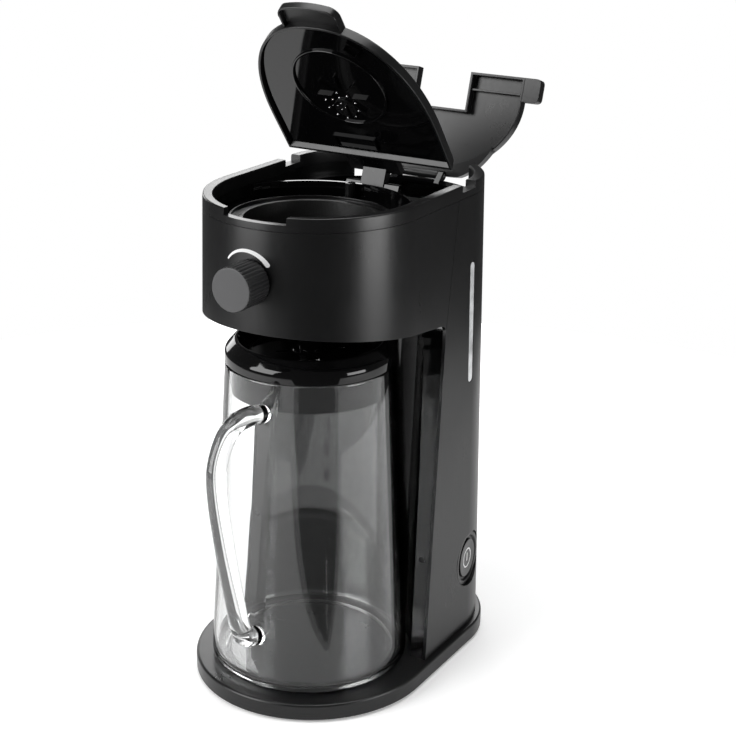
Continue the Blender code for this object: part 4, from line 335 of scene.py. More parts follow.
@dataclass(frozen=True)
class BodyShape:
    """The body's plan form: a half ellipse in front, straight sides, a half ellipse behind."""

    rim_z: float = 0.366
    half_width: float = 0.078
    front: float = 0.0814
    side: float = 0.087
    rear: float = 0.066
    draft: float = 0.018
    wall: float = 0.0025
    shell_bottom_z: float = 0.0143
    shell_top_z: float = 0.3561
    gap: float = 0.0003
    brew_y: float = -0.0085
    seam_foot_y: float = 0.0196
    seam_bend_z: float = 0.264
    seam_foot_z: float = 0.014
    lower_lean: float = 0.1007
    upper_lean: float = 0.185
    underside_front_z: float = 0.285
    underside_fall: float = 0.122
    deck_top_z: float = 0.346
    arc_steps: int = 96
    side_steps: int = 14

    def grow(self, z: np.ndarray | float) -> np.ndarray | float:
        """How far the body widens from the rim down to a height."""
        return self.draft * (self.rim_z - z)

    def plan(self, half_width: np.ndarray, front: np.ndarray, rear: np.ndarray) -> np.ndarray:
        """Plan outlines of given sizes.

        The front is (w cos a, f sin a) for a from 180 to 360 degrees, the rear the same with the rear's
        depth from 0 to 180 degrees about the end of the straight sides.

        Args:
            half_width: Half the width of each outline.
            front: The front's depth of each outline.
            rear: The rear's depth of each outline.

        Returns:
            An array of outlines by points by 2.
        """
        half_width, front, rear = (np.atleast_1d(a)[:, None] for a in (half_width, front, rear))
        ahead = np.linspace(math.pi, FULL_TURN, self.arc_steps + 1)
        behind = np.linspace(0, math.pi, self.arc_steps + 1)
        straight = np.linspace(0, self.side, self.side_steps + 2)[1:-1]
        ones = np.ones(len(straight))
        x = np.hstack([half_width * np.cos(ahead), half_width * ones, half_width * np.cos(behind)])
        x = np.hstack([x, -half_width * ones])
        rows = (len(half_width), 1)
        y = np.hstack([front * np.sin(ahead), np.tile(straight, rows), self.side + rear * np.sin(behind)])
        return np.stack([x, np.hstack([y, np.tile(straight[::-1], rows)])], -1)

    def outline(self, z: np.ndarray, inset: np.ndarray | float, plan_z: float | None = None) -> np.ndarray:
        """The body's outlines at heights, set in from its surface.

        Args:
            z: The heights.
            inset: How far each outline lies inside the surface.
            plan_z: The height that sets the size of all outlines, where it isn't their own.

        Returns:
            An array of outlines by points by 3.
        """
        z = np.atleast_1d(np.asarray(z, float))
        grow = self.grow(z if plan_z is None else plan_z) - inset + np.zeros(len(z))
        flat = self.plan(self.half_width + grow, self.front + grow, self.rear + grow)
        return np.concatenate([flat, np.broadcast_to(z[:, None, None], (*flat.shape[:2], 1))], -1)

    def seam_y(self, z: np.ndarray | float) -> np.ndarray | float:
        """The seam's depth at a height, in its two straight stretches."""
        lower = np.minimum(z, self.seam_bend_z) - self.seam_foot_z
        upper = np.maximum(np.asarray(z) - self.seam_bend_z, 0)
        return self.seam_foot_y + self.lower_lean * lower + self.upper_lean * upper

    def underside_z(self, y: np.ndarray | float) -> np.ndarray | float:
        """The height of the head's lower edge at a depth."""
        return self.underside_front_z - self.underside_fall * (y + self.front)

    def side_x(self, y: float, z: float) -> float:
        """Where the right surface lies behind the straight side's start."""
        past = max(y - self.side, 0) / (self.rear + self.grow(z))
        return (self.half_width + self.grow(z)) * math.sqrt(1 - past * past)

    def front_y(self, x: np.ndarray, z: np.ndarray) -> np.ndarray:
        """Where the round front's surface lies at a place across and a height."""
        share = x / (self.half_width + self.grow(z))
        return -(self.front + self.grow(z)) * np.sqrt(1 - share**2)


class Graph:
    """One node tree, built node by node."""

    def __init__(self, tree: bpy.types.NodeTree) -> None:
        """Keeps the tree."""
        self.tree = tree

    def add(self, kind: str, settings: dict | None = None, **values: object) -> bpy.types.Node:
        """Adds a node.

        Args:
            kind: The node's type, without the leading ShaderNode.
            settings: Properties of the node by name.
            **values: Inputs by name, with _ for a space: a socket is linked, a value is set.

        Returns:
            The node.
        """
        node = self.tree.nodes.new(kind if kind.startswith("Node") else "ShaderNode" + kind)
        for name, value in (settings or {}).items():
            setattr(node, name, value)
        for name, value in values.items():
            socket = node.inputs[name.replace("_", " ")]
            if isinstance(value, bpy.types.NodeSocket):
                self.tree.links.new(value, socket)
            else:
                socket.default_value = value
        return node

    def link(self, source: bpy.types.NodeSocket, target: bpy.types.NodeSocket) -> None:
        """Links two sockets."""
        self.tree.links.new(source, target)

    def math(self, operation: str, *sources: bpy.types.NodeSocket) -> bpy.types.NodeSocket:
        """Adds a Math node.

        Args:
            operation: What it works out.
            *sources: The sockets that feed its inputs, in their order.

        Returns:
            The result's socket.
        """
        node = self.add("Math", {"operation": operation})
        for source, target in zip(sources, node.inputs):
            self.link(source, target)
        return node.outputs[0]


class Effects:
    """The shader node groups that the finishes share."""

    def __init__(self) -> None:
        """Builds each group once."""
        self.drift = self.make_drift()
        self.grain = self.make_grain()
        self.brush = self.make_brush()
        self.weave = self.make_weave()

    @staticmethod
    def start(
        name: str, inputs: dict[str, tuple], outputs: dict[str, str]
    ) -> tuple[Graph, dict, bpy.types.Node]:
        """Starts a node group.

        Args:
            name: The group's name.
            inputs: The kind and default value of each input.
            outputs: The kind of each output.

        Returns:
            The graph, the input sockets by name and the output node.
        """
        tree = bpy.data.node_groups.new(name, "ShaderNodeTree")
        for label, (kind, value) in inputs.items():
            socket = tree.interface.new_socket(label, in_out="INPUT", socket_type="NodeSocket" + kind)
            socket.default_value = value
        for label, kind in outputs.items():
            tree.interface.new_socket(label, in_out="OUTPUT", socket_type="NodeSocket" + kind)
        graph = Graph(tree)
        entry, out = graph.add("NodeGroupInput"), graph.add("NodeGroupOutput")
        return graph, {label: entry.outputs[label] for label in inputs}, out

    def make_drift(self) -> bpy.types.NodeTree:
        """Slow changes of tone and roughness, with faint rubbed streaks."""
        graph, given, out = self.start(
            "tone_drift",
            {
                "Colour": ("Color", (0.5, 0.5, 0.5, 1)),
                "Roughness": ("Float", 0.5),
                "Scale": ("Float", 12.0),
                "Tone": ("Float", 0.1),
                "Rub": ("Float", 0.05),
            },
            {"Colour": "Color", "Roughness": "Float"},
        )
        where = graph.add("TexCoord").outputs["Object"]
        cloud = graph.add("TexNoise", Vector=where, Scale=given["Scale"], Detail=4.0, Roughness=0.6)
        span = graph.add("MapRange", Value=cloud.outputs["Fac"], From_Min=0.3, From_Max=0.7, To_Min=-1.0)
        swing = graph.add("Math", {"operation": "MULTIPLY_ADD"})
        graph.link(span.outputs["Result"], swing.inputs[0])
        graph.link(given["Tone"], swing.inputs[1])
        swing.inputs[2].default_value = 1.0
        tone = graph.add("VectorMath", {"operation": "SCALE"}, Scale=swing.outputs[0])
        graph.link(given["Colour"], tone.inputs[0])
        graph.link(tone.outputs[0], out.inputs["Colour"])
        squeeze = graph.add("Mapping", Vector=where, Scale=(3.0, 3.0, 0.35))
        streak = graph.add("TexNoise", Vector=squeeze.outputs[0], Scale=140.0, Detail=3.0, Roughness=0.7)
        rub = graph.add("MapRange", Value=streak.outputs["Fac"], From_Min=0.35, From_Max=0.75, To_Min=-0.4)
        blend = graph.add("Math", {"operation": "ADD"})
        graph.link(rub.outputs["Result"], blend.inputs[0])
        graph.link(span.outputs["Result"], blend.inputs[1])
        rough = graph.add("Math", {"operation": "MULTIPLY_ADD", "use_clamp": True})
        graph.link(blend.outputs[0], rough.inputs[0])
        graph.link(given["Rub"], rough.inputs[1])
        graph.link(given["Roughness"], rough.inputs[2])
        graph.link(rough.outputs[0], out.inputs["Roughness"])
        return graph.tree

    def make_grain(self) -> bpy.types.NodeTree:
        """The fine leathery grain of moulded plastic as a bumped normal."""
        graph, given, out = self.start(
            "moulded_grain",
            {"Scale": ("Float", 900.0), "Depth": ("Float", 0.00002), "Strength": ("Float", 0.3)},
            {"Normal": "Vector", "Height": "Float"},
        )
        where = graph.add("TexCoord").outputs["Object"]
        fine = graph.add("TexNoise", Vector=where, Scale=given["Scale"], Detail=2.0, Roughness=0.5)
        pits = graph.add("TexVoronoi", {"feature": "SMOOTH_F1"}, Vector=where, Scale=given["Scale"])
        height = graph.add("Math", {"operation": "ADD"})
        graph.link(fine.outputs["Fac"], height.inputs[0])
        graph.link(pits.outputs["Distance"], height.inputs[1])
        bump = graph.add("Bump", Strength=given["Strength"], Distance=given["Depth"], Height=height.outputs[0])
        graph.link(bump.outputs[0], out.inputs["Normal"])
        graph.link(height.outputs[0], out.inputs["Height"])
        return graph.tree

    def make_brush(self) -> bpy.types.NodeTree:
        """Fine lines drawn along X, for brushed and turned metal."""
        graph, given, out = self.start(
            "drawn_lines",
            {
                "Colour": ("Color", (0.5, 0.5, 0.5, 1)), "Roughness": ("Float", 0.3),
                "Depth": ("Float", 0.00001),
            },
            {"Colour": "Color", "Roughness": "Float", "Normal": "Vector"},
        )
        where = graph.add("TexCoord").outputs["Object"]
        squeeze = graph.add("Mapping", Vector=where, Scale=(0.08, 1.0, 1.0))
        line = graph.add("TexNoise", Vector=squeeze.outputs[0], Scale=2500.0, Detail=3.0, Roughness=0.7)
        shade = graph.add("MapRange", Value=line.outputs["Fac"], To_Min=0.82, To_Max=1.12)
        tone = graph.add("VectorMath", {"operation": "SCALE"}, Scale=shade.outputs[0])
        graph.link(given["Colour"], tone.inputs[0])
        graph.link(tone.outputs[0], out.inputs["Colour"])
        rough = graph.add("Math", {"operation": "MULTIPLY"})
        graph.link(shade.outputs[0], rough.inputs[0])
        graph.link(given["Roughness"], rough.inputs[1])
        graph.link(rough.outputs[0], out.inputs["Roughness"])
        bump = graph.add("Bump", Strength=0.4, Distance=given["Depth"], Height=line.outputs["Fac"])
        graph.link(bump.outputs[0], out.inputs["Normal"])
        return graph.tree

    def make_weave(self) -> bpy.types.NodeTree:
        """Crossed threads of a fine filter gauze, as a mask of the holes and a bumped normal."""
        graph, given, out = self.start(
            "gauze",
            {"Colour": ("Color", (0.5, 0.5, 0.5, 1)), "Scale": ("Float", 900.0), "Depth": ("Float", 0.0001)},
            {"Colour": "Color", "Normal": "Vector"},
        )
        where = graph.add("TexCoord").outputs["Object"]
        bands = []
        for direction in ("X", "Y", "Z"):
            wave = graph.add(
                "TexWave", {"wave_type": "BANDS", "bands_direction": direction}, Vector=where, Scale=given["Scale"]
            )
            bands.append(wave.outputs["Fac"])
        pair = graph.add("Math", {"operation": "MAXIMUM"})
        graph.link(bands[0], pair.inputs[0])
        graph.link(bands[1], pair.inputs[1])
        thread = graph.add("Math", {"operation": "MAXIMUM"})
        graph.link(pair.outputs[0], thread.inputs[0])
        graph.link(bands[2], thread.inputs[1])
        shade = graph.add("MapRange", Value=thread.outputs[0], From_Min=0.4, To_Min=0.25, To_Max=1.0)
        tone = graph.add("VectorMath", {"operation": "SCALE"}, Scale=shade.outputs[0])
        graph.link(given["Colour"], tone.inputs[0])
        graph.link(tone.outputs[0], out.inputs["Colour"])
        bump = graph.add("Bump", Strength=0.6, Distance=given["Depth"], Height=thread.outputs[0])
        graph.link(bump.outputs[0], out.inputs["Normal"])
        return graph.tree


@dataclass(frozen=True)
class Finish:
    """One surface finish: its colour, its shine and how both change over the surface."""

    name: str
    colour: Point
    roughness: float
    specular: float = 0.5
    metallic: float = 0.0
    transmission: float = 0.0
    ior: float = 1.5
    coat: float = 0.0
    coat_roughness: float = 0.05
    grain: float = 900.0
    grain_depth: float = 0.00001
    grain_strength: float = 0.25
    tone: float = 0.12
    tone_scale: float = 14.0
    rub: float = 0.03
    slot: Slot | None = None

    def build(self, effects: Effects) -> bpy.types.Material:
        """Makes the finish's material.

        Args:
            effects: The shared node groups.

        Returns:
            The material.
        """
        material = bpy.data.materials.new(self.name)
        material.use_nodes = True
        graph = Graph(material.node_tree)
        shader = material.node_tree.nodes["Principled BSDF"]
        shader.inputs["Specular IOR Level"].default_value = self.specular
        shader.inputs["Metallic"].default_value = self.metallic
        shader.inputs["Transmission Weight"].default_value = self.transmission
        shader.inputs["IOR"].default_value = self.ior
        shader.inputs["Coat Weight"].default_value = self.coat
        shader.inputs["Coat Roughness"].default_value = self.coat_roughness
        material.diffuse_color = (*self.colour, 1)
        self.wire(graph, shader, effects)
        return material

    def wire(self, graph: Graph, shader: bpy.types.Node, effects: Effects) -> None:
        """Feeds the shader's colour, roughness and normal.

        Args:
            graph: The material's graph.
            shader: Its Principled shader.
            effects: The shared node groups.
        """
        drift = graph.add(
            "Group", {"node_tree": effects.drift}, Colour=(*self.colour, 1), Roughness=self.roughness,
            Scale=self.tone_scale, Tone=self.tone, Rub=self.rub,
        )
        grain = graph.add(
            "Group", {"node_tree": effects.grain}, Scale=self.grain, Depth=self.grain_depth,
            Strength=self.grain_strength,
        )
        graph.link(drift.outputs["Colour"], shader.inputs["Base Color"])
        graph.link(drift.outputs["Roughness"], shader.inputs["Roughness"])
        graph.link(grain.outputs["Normal"], shader.inputs["Normal"])


@dataclass(frozen=True)
class MetalFinish(Finish):
    """Brushed or turned metal."""

    metallic: float = 1.0

    def wire(self, graph: Graph, shader: bpy.types.Node, effects: Effects) -> None:
        """Feeds the shader from the drawn lines."""
        lines = graph.add(
            "Group", {"node_tree": effects.brush}, Colour=(*self.colour, 1), Roughness=self.roughness,
            Depth=self.grain_depth,
        )
        for label, socket in (("Colour", "Base Color"), ("Roughness", "Roughness"), ("Normal", "Normal")):
            graph.link(lines.outputs[label], shader.inputs[socket])


@dataclass(frozen=True)
class GauzeFinish(Finish):
    """Fine woven gauze."""

    def wire(self, graph: Graph, shader: bpy.types.Node, effects: Effects) -> None:
        """Feeds the shader from the gauze."""
        shader.inputs["Roughness"].default_value = self.roughness
        gauze = graph.add(
            "Group", {"node_tree": effects.weave}, Colour=(*self.colour, 1), Scale=self.grain,
            Depth=self.grain_depth,
        )
        graph.link(gauze.outputs["Colour"], shader.inputs["Base Color"])
        graph.link(gauze.outputs["Normal"], shader.inputs["Normal"])


@dataclass(frozen=True)
class ClearFinish(Finish):
    """Glass or clear plastic: even all through, with a faint waviness where it has a grain."""

    transmission: float = 1.0

    def wire(self, graph: Graph, shader: bpy.types.Node, effects: Effects) -> None:
        """Sets the shader's own sockets and links a normal only where there is a grain."""
        shader.inputs["Base Color"].default_value = (*self.colour, 1)
        shader.inputs["Roughness"].default_value = self.roughness
        if self.grain_strength:
            grain = graph.add(
                "Group", {"node_tree": effects.grain}, Scale=self.grain, Depth=self.grain_depth,
                Strength=self.grain_strength,
            )
            graph.link(grain.outputs["Normal"], shader.inputs["Normal"])


FINISHES = (
    Finish("satin_black_shell", (0.0055, 0.0055, 0.0058), 0.3, 0.45, slot=Slot.SATIN, grain_strength=0.15),
    Finish(
        "gloss_black_panel", (0.002, 0.002, 0.0022), 0.06, 0.45, slot=Slot.GLOSS, grain_strength=0.02,
        rub=0.01,
    ),
    Finish("dial_face_grey", (0.075, 0.075, 0.077), 0.42, 0.3, slot=Slot.DIAL, tone=0.08),
    Finish("dial_side_black", (0.008, 0.008, 0.0085), 0.42, 0.35, slot=Slot.DIAL),
    Finish("rubber", (0.012, 0.012, 0.012), 0.75, 0.3, slot=Slot.RUBBER, grain_strength=0.5),
    MetalFinish("bright_steel", (0.62, 0.62, 0.63), 0.24, slot=Slot.STEEL),
    Finish(
        "cast_alloy", (0.5, 0.5, 0.51), 0.45, metallic=1.0, slot=Slot.CAST, grain=500.0,
        grain_depth=0.00005,
    ),
    ClearFinish("jug_glass_clear", (0.955, 0.96, 0.96), 0.0, ior=1.47, slot=Slot.GLASS, grain_strength=0.0),
    ClearFinish("tank_plastic", (0.55, 0.58, 0.6), 0.15, ior=1.49, slot=Slot.PLASTIC, grain_strength=0.1),
    Finish(
        "window_plastic", (0.62, 0.63, 0.64), 0.12, coat=0.5, slot=Slot.PLASTIC, grain_strength=0.05, tone=0.45,
        tone_scale=45.0,
    ),
    Finish("white_nylon_parts", (0.72, 0.72, 0.69), 0.45, slot=Slot.NYLON, tone=0.06),
    GauzeFinish("filter_gauze", (0.014, 0.014, 0.014), 0.4, slot=Slot.MESH, grain=350.0, grain_depth=0.0001),
    Finish("silicone", (0.66, 0.66, 0.63), 0.5, transmission=0.25, slot=Slot.HOSE, tone=0.06),
    Finish("lead_cover", (0.6, 0.6, 0.57), 0.55, slot=Slot.LEAD, tone=0.06),
    Finish("white_print", (0.78, 0.78, 0.78), 0.5, 0.3, tone=0.03, grain_strength=0.1),
)


@dataclass
class Forge:
    """Turns forms into finished pieces in the row frame."""

    nodes: dict[str, bpy.types.Object]
    shift: float
    finishes: dict[str, bpy.types.Material] = field(default_factory=dict)
    slots: dict[str, Slot | None] = field(default_factory=dict)

    def load_finishes(self) -> None:
        """Builds every finish and keeps the slot that each belongs to."""
        effects = Effects()
        for finish in FINISHES:
            self.finishes[finish.name] = finish.build(effects)
            self.slots[finish.name] = finish.slot

    def dress(self, name: str, finish: str) -> None:
        """Gives a CAD node a finish in all its material slots."""
        node = self.nodes[name]
        for place in node.material_slots:
            place.link = "OBJECT"
            place.material = self.finishes[finish]

    def raw(self, name: str, form: Form) -> bpy.types.Object:
        """Makes an object from a form, its doubles merged and its faces turned outwards."""
        mesh = bpy.data.meshes.new(name)
        mesh.from_pydata(form.points.tolist(), [], form.faces)
        work = bmesh.new()
        work.from_mesh(mesh)
        bmesh.ops.remove_doubles(work, verts=work.verts, dist=TOUCH)
        bmesh.ops.recalc_face_normals(work, faces=work.faces)
        work.to_mesh(mesh)
        work.free()
        made = bpy.data.objects.new(name, mesh)
        bpy.context.scene.collection.objects.link(made)
        return made

    def combine(self, target: bpy.types.Object, tools: list[tuple[Operation, Form]]) -> None:
        """Applies cuts and joins to an object's mesh.

        Args:
            target: The object.
            tools: Each tool's operation and form, in order.
        """
        helpers = [self.raw(f"{target.name}_tool", form) for _, form in tools]
        for helper, (operation, _) in zip(helpers, tools):
            modifier = target.modifiers.new(helper.name, "BOOLEAN")
            modifier.object = helper
            modifier.operation = operation.value
            modifier.solver = "EXACT"
        graph = bpy.context.evaluated_depsgraph_get()
        mesh = bpy.data.meshes.new_from_object(target.evaluated_get(graph))
        target.modifiers.clear()
        target.data = mesh
        for helper in helpers:
            bpy.data.objects.remove(helper, do_unlink=True)

    @staticmethod
    def weigh_edges(mesh: bpy.types.Mesh, share: Callable[[np.ndarray], np.ndarray]) -> None:
        """Gives each sharp edge its share of the rounding.

        Args:
            mesh: The mesh, its sharp edges marked.
            share: Gives the shares from the edges' middles.
        """
        places = np.empty(len(mesh.vertices) * 3)
        mesh.vertices.foreach_get("co", places)
        ends = np.empty(len(mesh.edges) * 2, int)
        mesh.edges.foreach_get("vertices", ends)
        sharp = np.empty(len(mesh.edges), bool)
        mesh.edges.foreach_get("use_edge_sharp", sharp)
        middles = places.reshape(-1, 3)[ends.reshape(-1, 2)].mean(axis=1)
        weight = mesh.attributes.new("bevel_weight_edge", "FLOAT", "EDGE")
        weight.data.foreach_set("value", (sharp * share(middles)).astype(np.float32))

    def piece(
        self,
        name: str,
        form: Form,
        finish: str,
        rider: Rider,
        replaces: tuple[str, ...] = (),
        tools: list[tuple[Operation, Form]] | None = None,
        bevel: float = 0.0,
        segments: int = 2,
        share: Callable[[np.ndarray], np.ndarray] | None = None,
    ) -> bpy.types.Object:
        """Makes one finished piece.

        Args:
            name: The piece's name.
            form: Its form in the plan frame.
            finish: The name of its finish.
            rider: The body it rides on.
            replaces: CAD nodes that it stands for.
            tools: Cuts and joins.
            bevel: The width of its rounded edges.
            segments: Spans across each rounded edge.
            share: Gives an edge's share of the width from the place of its middle.

        Returns:
            The piece.
        """
        made = self.raw(name, form)
        if tools:
            self.combine(made, tools)
        made.data.materials.clear()
        made.data.materials.append(self.finishes[finish])
        made.data.shade_smooth()
        made.data.set_sharp_from_angle(angle=math.radians(32))
        if share:
            self.weigh_edges(made.data, share)
        made.data.transform(Matrix.Translation((0, self.shift, 0)))
        if bevel:
            edge = made.modifiers.new("rounded_edges", "BEVEL")
            edge.width = bevel
            edge.segments = segments
            edge.limit_method = "WEIGHT" if share else "ANGLE"
            edge.angle_limit = math.radians(32)
            edge.harden_normals = True
            edge.use_clamp_overlap = True
        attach(made, rider.value)
        if replaces:
            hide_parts(*replaces)
        LOG.info("%s: %d points", name, len(made.data.vertices))
        return made


@dataclass
class Base:
    """The base tray with the jug's seat ring."""

    bottom_z: float = 0.002
    top_z: float = 0.014
    overhang: float = 0.0045
    wall: float = 0.003
    edge: float = 0.0022
    seat_inner: float = 0.064
    seat_outer: float = 0.0675
    seat_top_z: float = 0.0157

    def build(self, forge: Forge, shape: BodyShape) -> None:
        """Builds the tray and the seat ring.

        Args:
            forge: The piece maker.
            shape: The body's plan form.
        """
        ceiling = self.top_z - self.wall
        path = [
            (ceiling, self.wall), (self.bottom_z, self.wall), (self.bottom_z, 0), (self.top_z, 0),
            (self.top_z, 4 * self.wall),
        ]
        rows = fillet(path, [0, 0.0003, 0.0008, self.edge, 0], 6)
        tray = Form.tube_of_rows(shape.outline(rows[:, 0], rows[:, 1] - self.overhang, shape.shell_bottom_z))
        forge.piece("base_tray_moulded", tray, "satin_black_shell", Rider.HOUSING, ("base_tray",))
        low = self.top_z - 0.0006
        seat = [
            (self.seat_inner, low), (self.seat_outer, low), (self.seat_outer, self.seat_top_z),
            (self.seat_inner, self.seat_top_z),
        ]
        ring = Form.lathe(fillet(np.array(seat), [0, 0, 0.0009, 0.0009], 4, True), 128, True)
        forge.piece("jug_seat_ring", ring.moved((0, shape.brew_y, 0)), "satin_black_shell", Rider.HOUSING)


@dataclass
class Shells:
    """The head shell, the rear housing, the column panel and the level window."""

    fillet_radius: float = 0.007
    column_radius: float = 0.0768
    column_flare: float = 0.02
    panel_thickness: float = 0.002
    notch_half_width: float = 0.052
    notch_z: float = 0.3452
    notch_y: float = 0.087
    underside_recess: float = 0.001
    rows: int = 40
    window_y: float = 0.0845
    window_half_width: float = 0.0035
    window_low_z: float = 0.215
    window_high_z: float = 0.307
    gland_z: float = 0.03
    gland_radius: float = 0.005

    def head_low(self, shape: BodyShape, y: np.ndarray) -> np.ndarray:
        """The head's lower edge at a depth: the sloping line, then the curve that turns down at the seam.

        Args:
            shape: The body's plan form.
            y: Depths.

        Returns:
            The heights.
        """
        radius = self.fillet_radius
        centre_z = shape.underside_z(shape.seam_y(shape.underside_front_z)) - radius
        for _ in range(6):
            centre_y = shape.seam_y(centre_z) - shape.gap - radius * math.hypot(1, shape.lower_lean)
            centre_z = shape.underside_z(centre_y) - radius * math.hypot(1, shape.underside_fall)
        tip_angle = math.radians(20)
        self.tip = (centre_y + radius * math.cos(tip_angle), centre_z + radius * math.sin(tip_angle))
        touch = centre_y + radius * math.cos(math.atan2(1, shape.underside_fall))
        past = np.clip((y - centre_y) / radius, 0, math.cos(math.radians(20)))
        return np.where(y < touch, shape.underside_z(y), centre_z + radius * np.sqrt(1 - past**2))

    def build_head(self, forge: Forge, shape: BodyShape, dial_y: float, dial_z: float) -> None:
        """Builds the head shell, bored for the dial.

        A point is found from its share t of the way from the middle of the front to the seam and its share
        v from the lower edge to the top: on the round front it is (w sin a, -f cos a), then it runs
        straight to the seam, whose depth changes with the height.

        Args:
            forge: The piece maker.
            shape: The body's plan form.
            dial_y: The dial axis' front point.
            dial_z: The dial axis' height.
        """
        self.head_low(shape, np.zeros(1))
        ahead = np.linspace(0, math.pi / 2, shape.arc_steps)
        straight = np.r_[np.linspace(0, 0.72, 12)[1:], np.linspace(0.72, 1, 26)[1:]]
        seam_low = float(shape.seam_y(self.tip[1])) - shape.gap
        low = np.full(len(ahead), float(shape.underside_front_z))
        for _ in range(3):
            low = self.head_low(shape, -(shape.front + shape.grow(low)) * np.cos(ahead))
        low = np.r_[low, self.head_low(shape, straight * seam_low)]
        share = np.linspace(0, 1, self.rows)[:, None]
        z = low + (shape.shell_top_z - low) * share
        count = len(ahead)

        def surface(inset: float) -> np.ndarray:
            """The grid at a depth inside the surface, from the left seam round to the right one."""
            width = shape.half_width + shape.grow(z) - inset
            depth = shape.front + shape.grow(z) - inset
            x = np.hstack([width[:, :count] * np.sin(ahead), width[:, count:]])
            y_seam = shape.seam_y(z[:, count:]) - shape.gap
            y = np.hstack([-depth[:, :count] * np.cos(ahead), y_seam * straight])
            right = np.stack([x, y, z], -1)
            left = right[:, :0:-1] * np.array([-1, 1, 1])
            return np.concatenate([left, right], 1)

        bore = Form.lathe([(0, -0.01), (0.0058, -0.01), (0.0058, 0.01), (0, 0.01)], 40)
        bore = bore.turned(Matrix.Translation((0, dial_y, dial_z)) @ Z_TO_FRONT)

        def share(middles: np.ndarray) -> np.ndarray:
            """Rounds the lower edge fully and the joints a little."""
            return np.where(middles[:, 2] < shape.underside_z(middles[:, 1]) + 0.004, 1.0, 0.2)

        forge.piece(
            "head_shell_moulded", Form.shell(surface(0), surface(shape.wall)), "satin_black_shell", Rider.HOUSING,
            ("head_shell",), [(Operation.CUT, bore)], 0.0011, 3, share,
        )

    def build_housing(self, forge: Forge, shape: BodyShape, power: Matrix, power_hole: float) -> None:
        """Builds the rear housing with its window, button, lid and cord openings.

        A point is found from its share t of the way from the right seam round the rear to the left seam
        and from its height: straight from the seam to the side's end, then (w cos a, side + r sin a).

        Args:
            forge: The piece maker.
            shape: The body's plan form.
            power: The power button's axis.
            power_hole: The radius of its hole.
        """
        height = np.r_[
            np.linspace(shape.shell_bottom_z, shape.seam_bend_z, 60),
            np.linspace(shape.seam_bend_z, shape.shell_top_z, 24)[1:],
        ][:, None]
        straight = np.linspace(0, 1, 24)[:-1]
        behind = np.linspace(0, math.pi / 2, shape.arc_steps)

        def surface(inset: float) -> np.ndarray:
            """The grid at a depth inside the surface."""
            width = shape.half_width + shape.grow(height) - inset
            depth = shape.rear + shape.grow(height) - inset
            start = shape.seam_y(height)
            x = np.hstack([width * np.ones(len(straight)), width * np.cos(behind)])
            y = np.hstack([start + (shape.side - start) * straight, shape.side + depth * np.sin(behind)])
            right = np.stack([x, y, np.broadcast_to(height, x.shape)], -1)
            left = right[:, -2::-1] * np.array([-1, 1, 1])
            return np.concatenate([right, left], 1)

        window = self.slot_outline(0.0)
        rear_y = shape.side + shape.rear + shape.grow(self.gland_z)
        gland = Form.lathe([(0, -0.01), (self.gland_radius, -0.01), (self.gland_radius, 0.01), (0, 0.01)], 40)
        gland = gland.turned(Matrix.Translation((0, rear_y, self.gland_z)) @ Z_TO_FRONT)
        hole = Form.lathe([(0, -0.02), (power_hole, -0.02), (power_hole, 0.02), (0, 0.02)], 96).turned(power)
        tools = [
            (
                Operation.CUT,
                Form.block(
                    (-self.notch_half_width, self.notch_y, self.notch_z), (self.notch_half_width, 0.2, 0.37)
                ),
            ),
            (Operation.CUT, Form.prism(window, 0.05, 0.12, 0)),
            (Operation.CUT, hole),
            (Operation.CUT, gland),
        ]
        forge.piece(
            "rear_housing_moulded", Form.shell(surface(0), surface(shape.wall)), "satin_black_shell",
            Rider.HOUSING, ("rear_housing",), tools, 0.0004, 2,
        )

    def slot_outline(self, inset: float) -> np.ndarray:
        """The upright slot of the level window, (y + r cos a, z + r sin a) at its two round ends."""
        radius = self.window_half_width - inset
        upper = np.linspace(0, math.pi, 20)
        lower = upper + math.pi
        top, bottom = self.window_high_z - self.window_half_width, self.window_low_z + self.window_half_width
        y = self.window_y + radius * np.cos(np.r_[upper, lower])
        z = radius * np.sin(np.r_[upper, lower]) + np.repeat([top, bottom], 20)
        return np.stack([y, z], -1)

    def build_window(self, forge: Forge, shape: BodyShape) -> None:
        """Builds the level window in its slot.

        Args:
            forge: The piece maker.
            shape: The body's plan form.
        """
        outline = self.slot_outline(shape.gap)
        x = shape.half_width + shape.grow(outline[:, 1]) - 0.0002
        outer = np.column_stack([x, outline])
        strip = Form.tube_of_rows(np.stack([outer - np.array([0.0026, 0, 0]), outer]))
        forge.piece(
            "level_window_strip", strip, "window_plastic", Rider.HOUSING, ("level_window",), None, 0.0003
        )

    def build_column(self, forge: Forge, shape: BodyShape) -> None:
        """Builds the glossy panel behind the jug.

        Across, it is a side strip in the seam's plane, then the arc (r cos a, brew + r sin a), whose radius
        grows with the height, then the other strip; up, it runs from the base to the sloping underside.

        Args:
            forge: The piece maker.
            shape: The body's plan form.
        """
        turn = np.linspace(0, 1, 121)[None, :]
        share = np.linspace(0, 1, 60)[:, None]

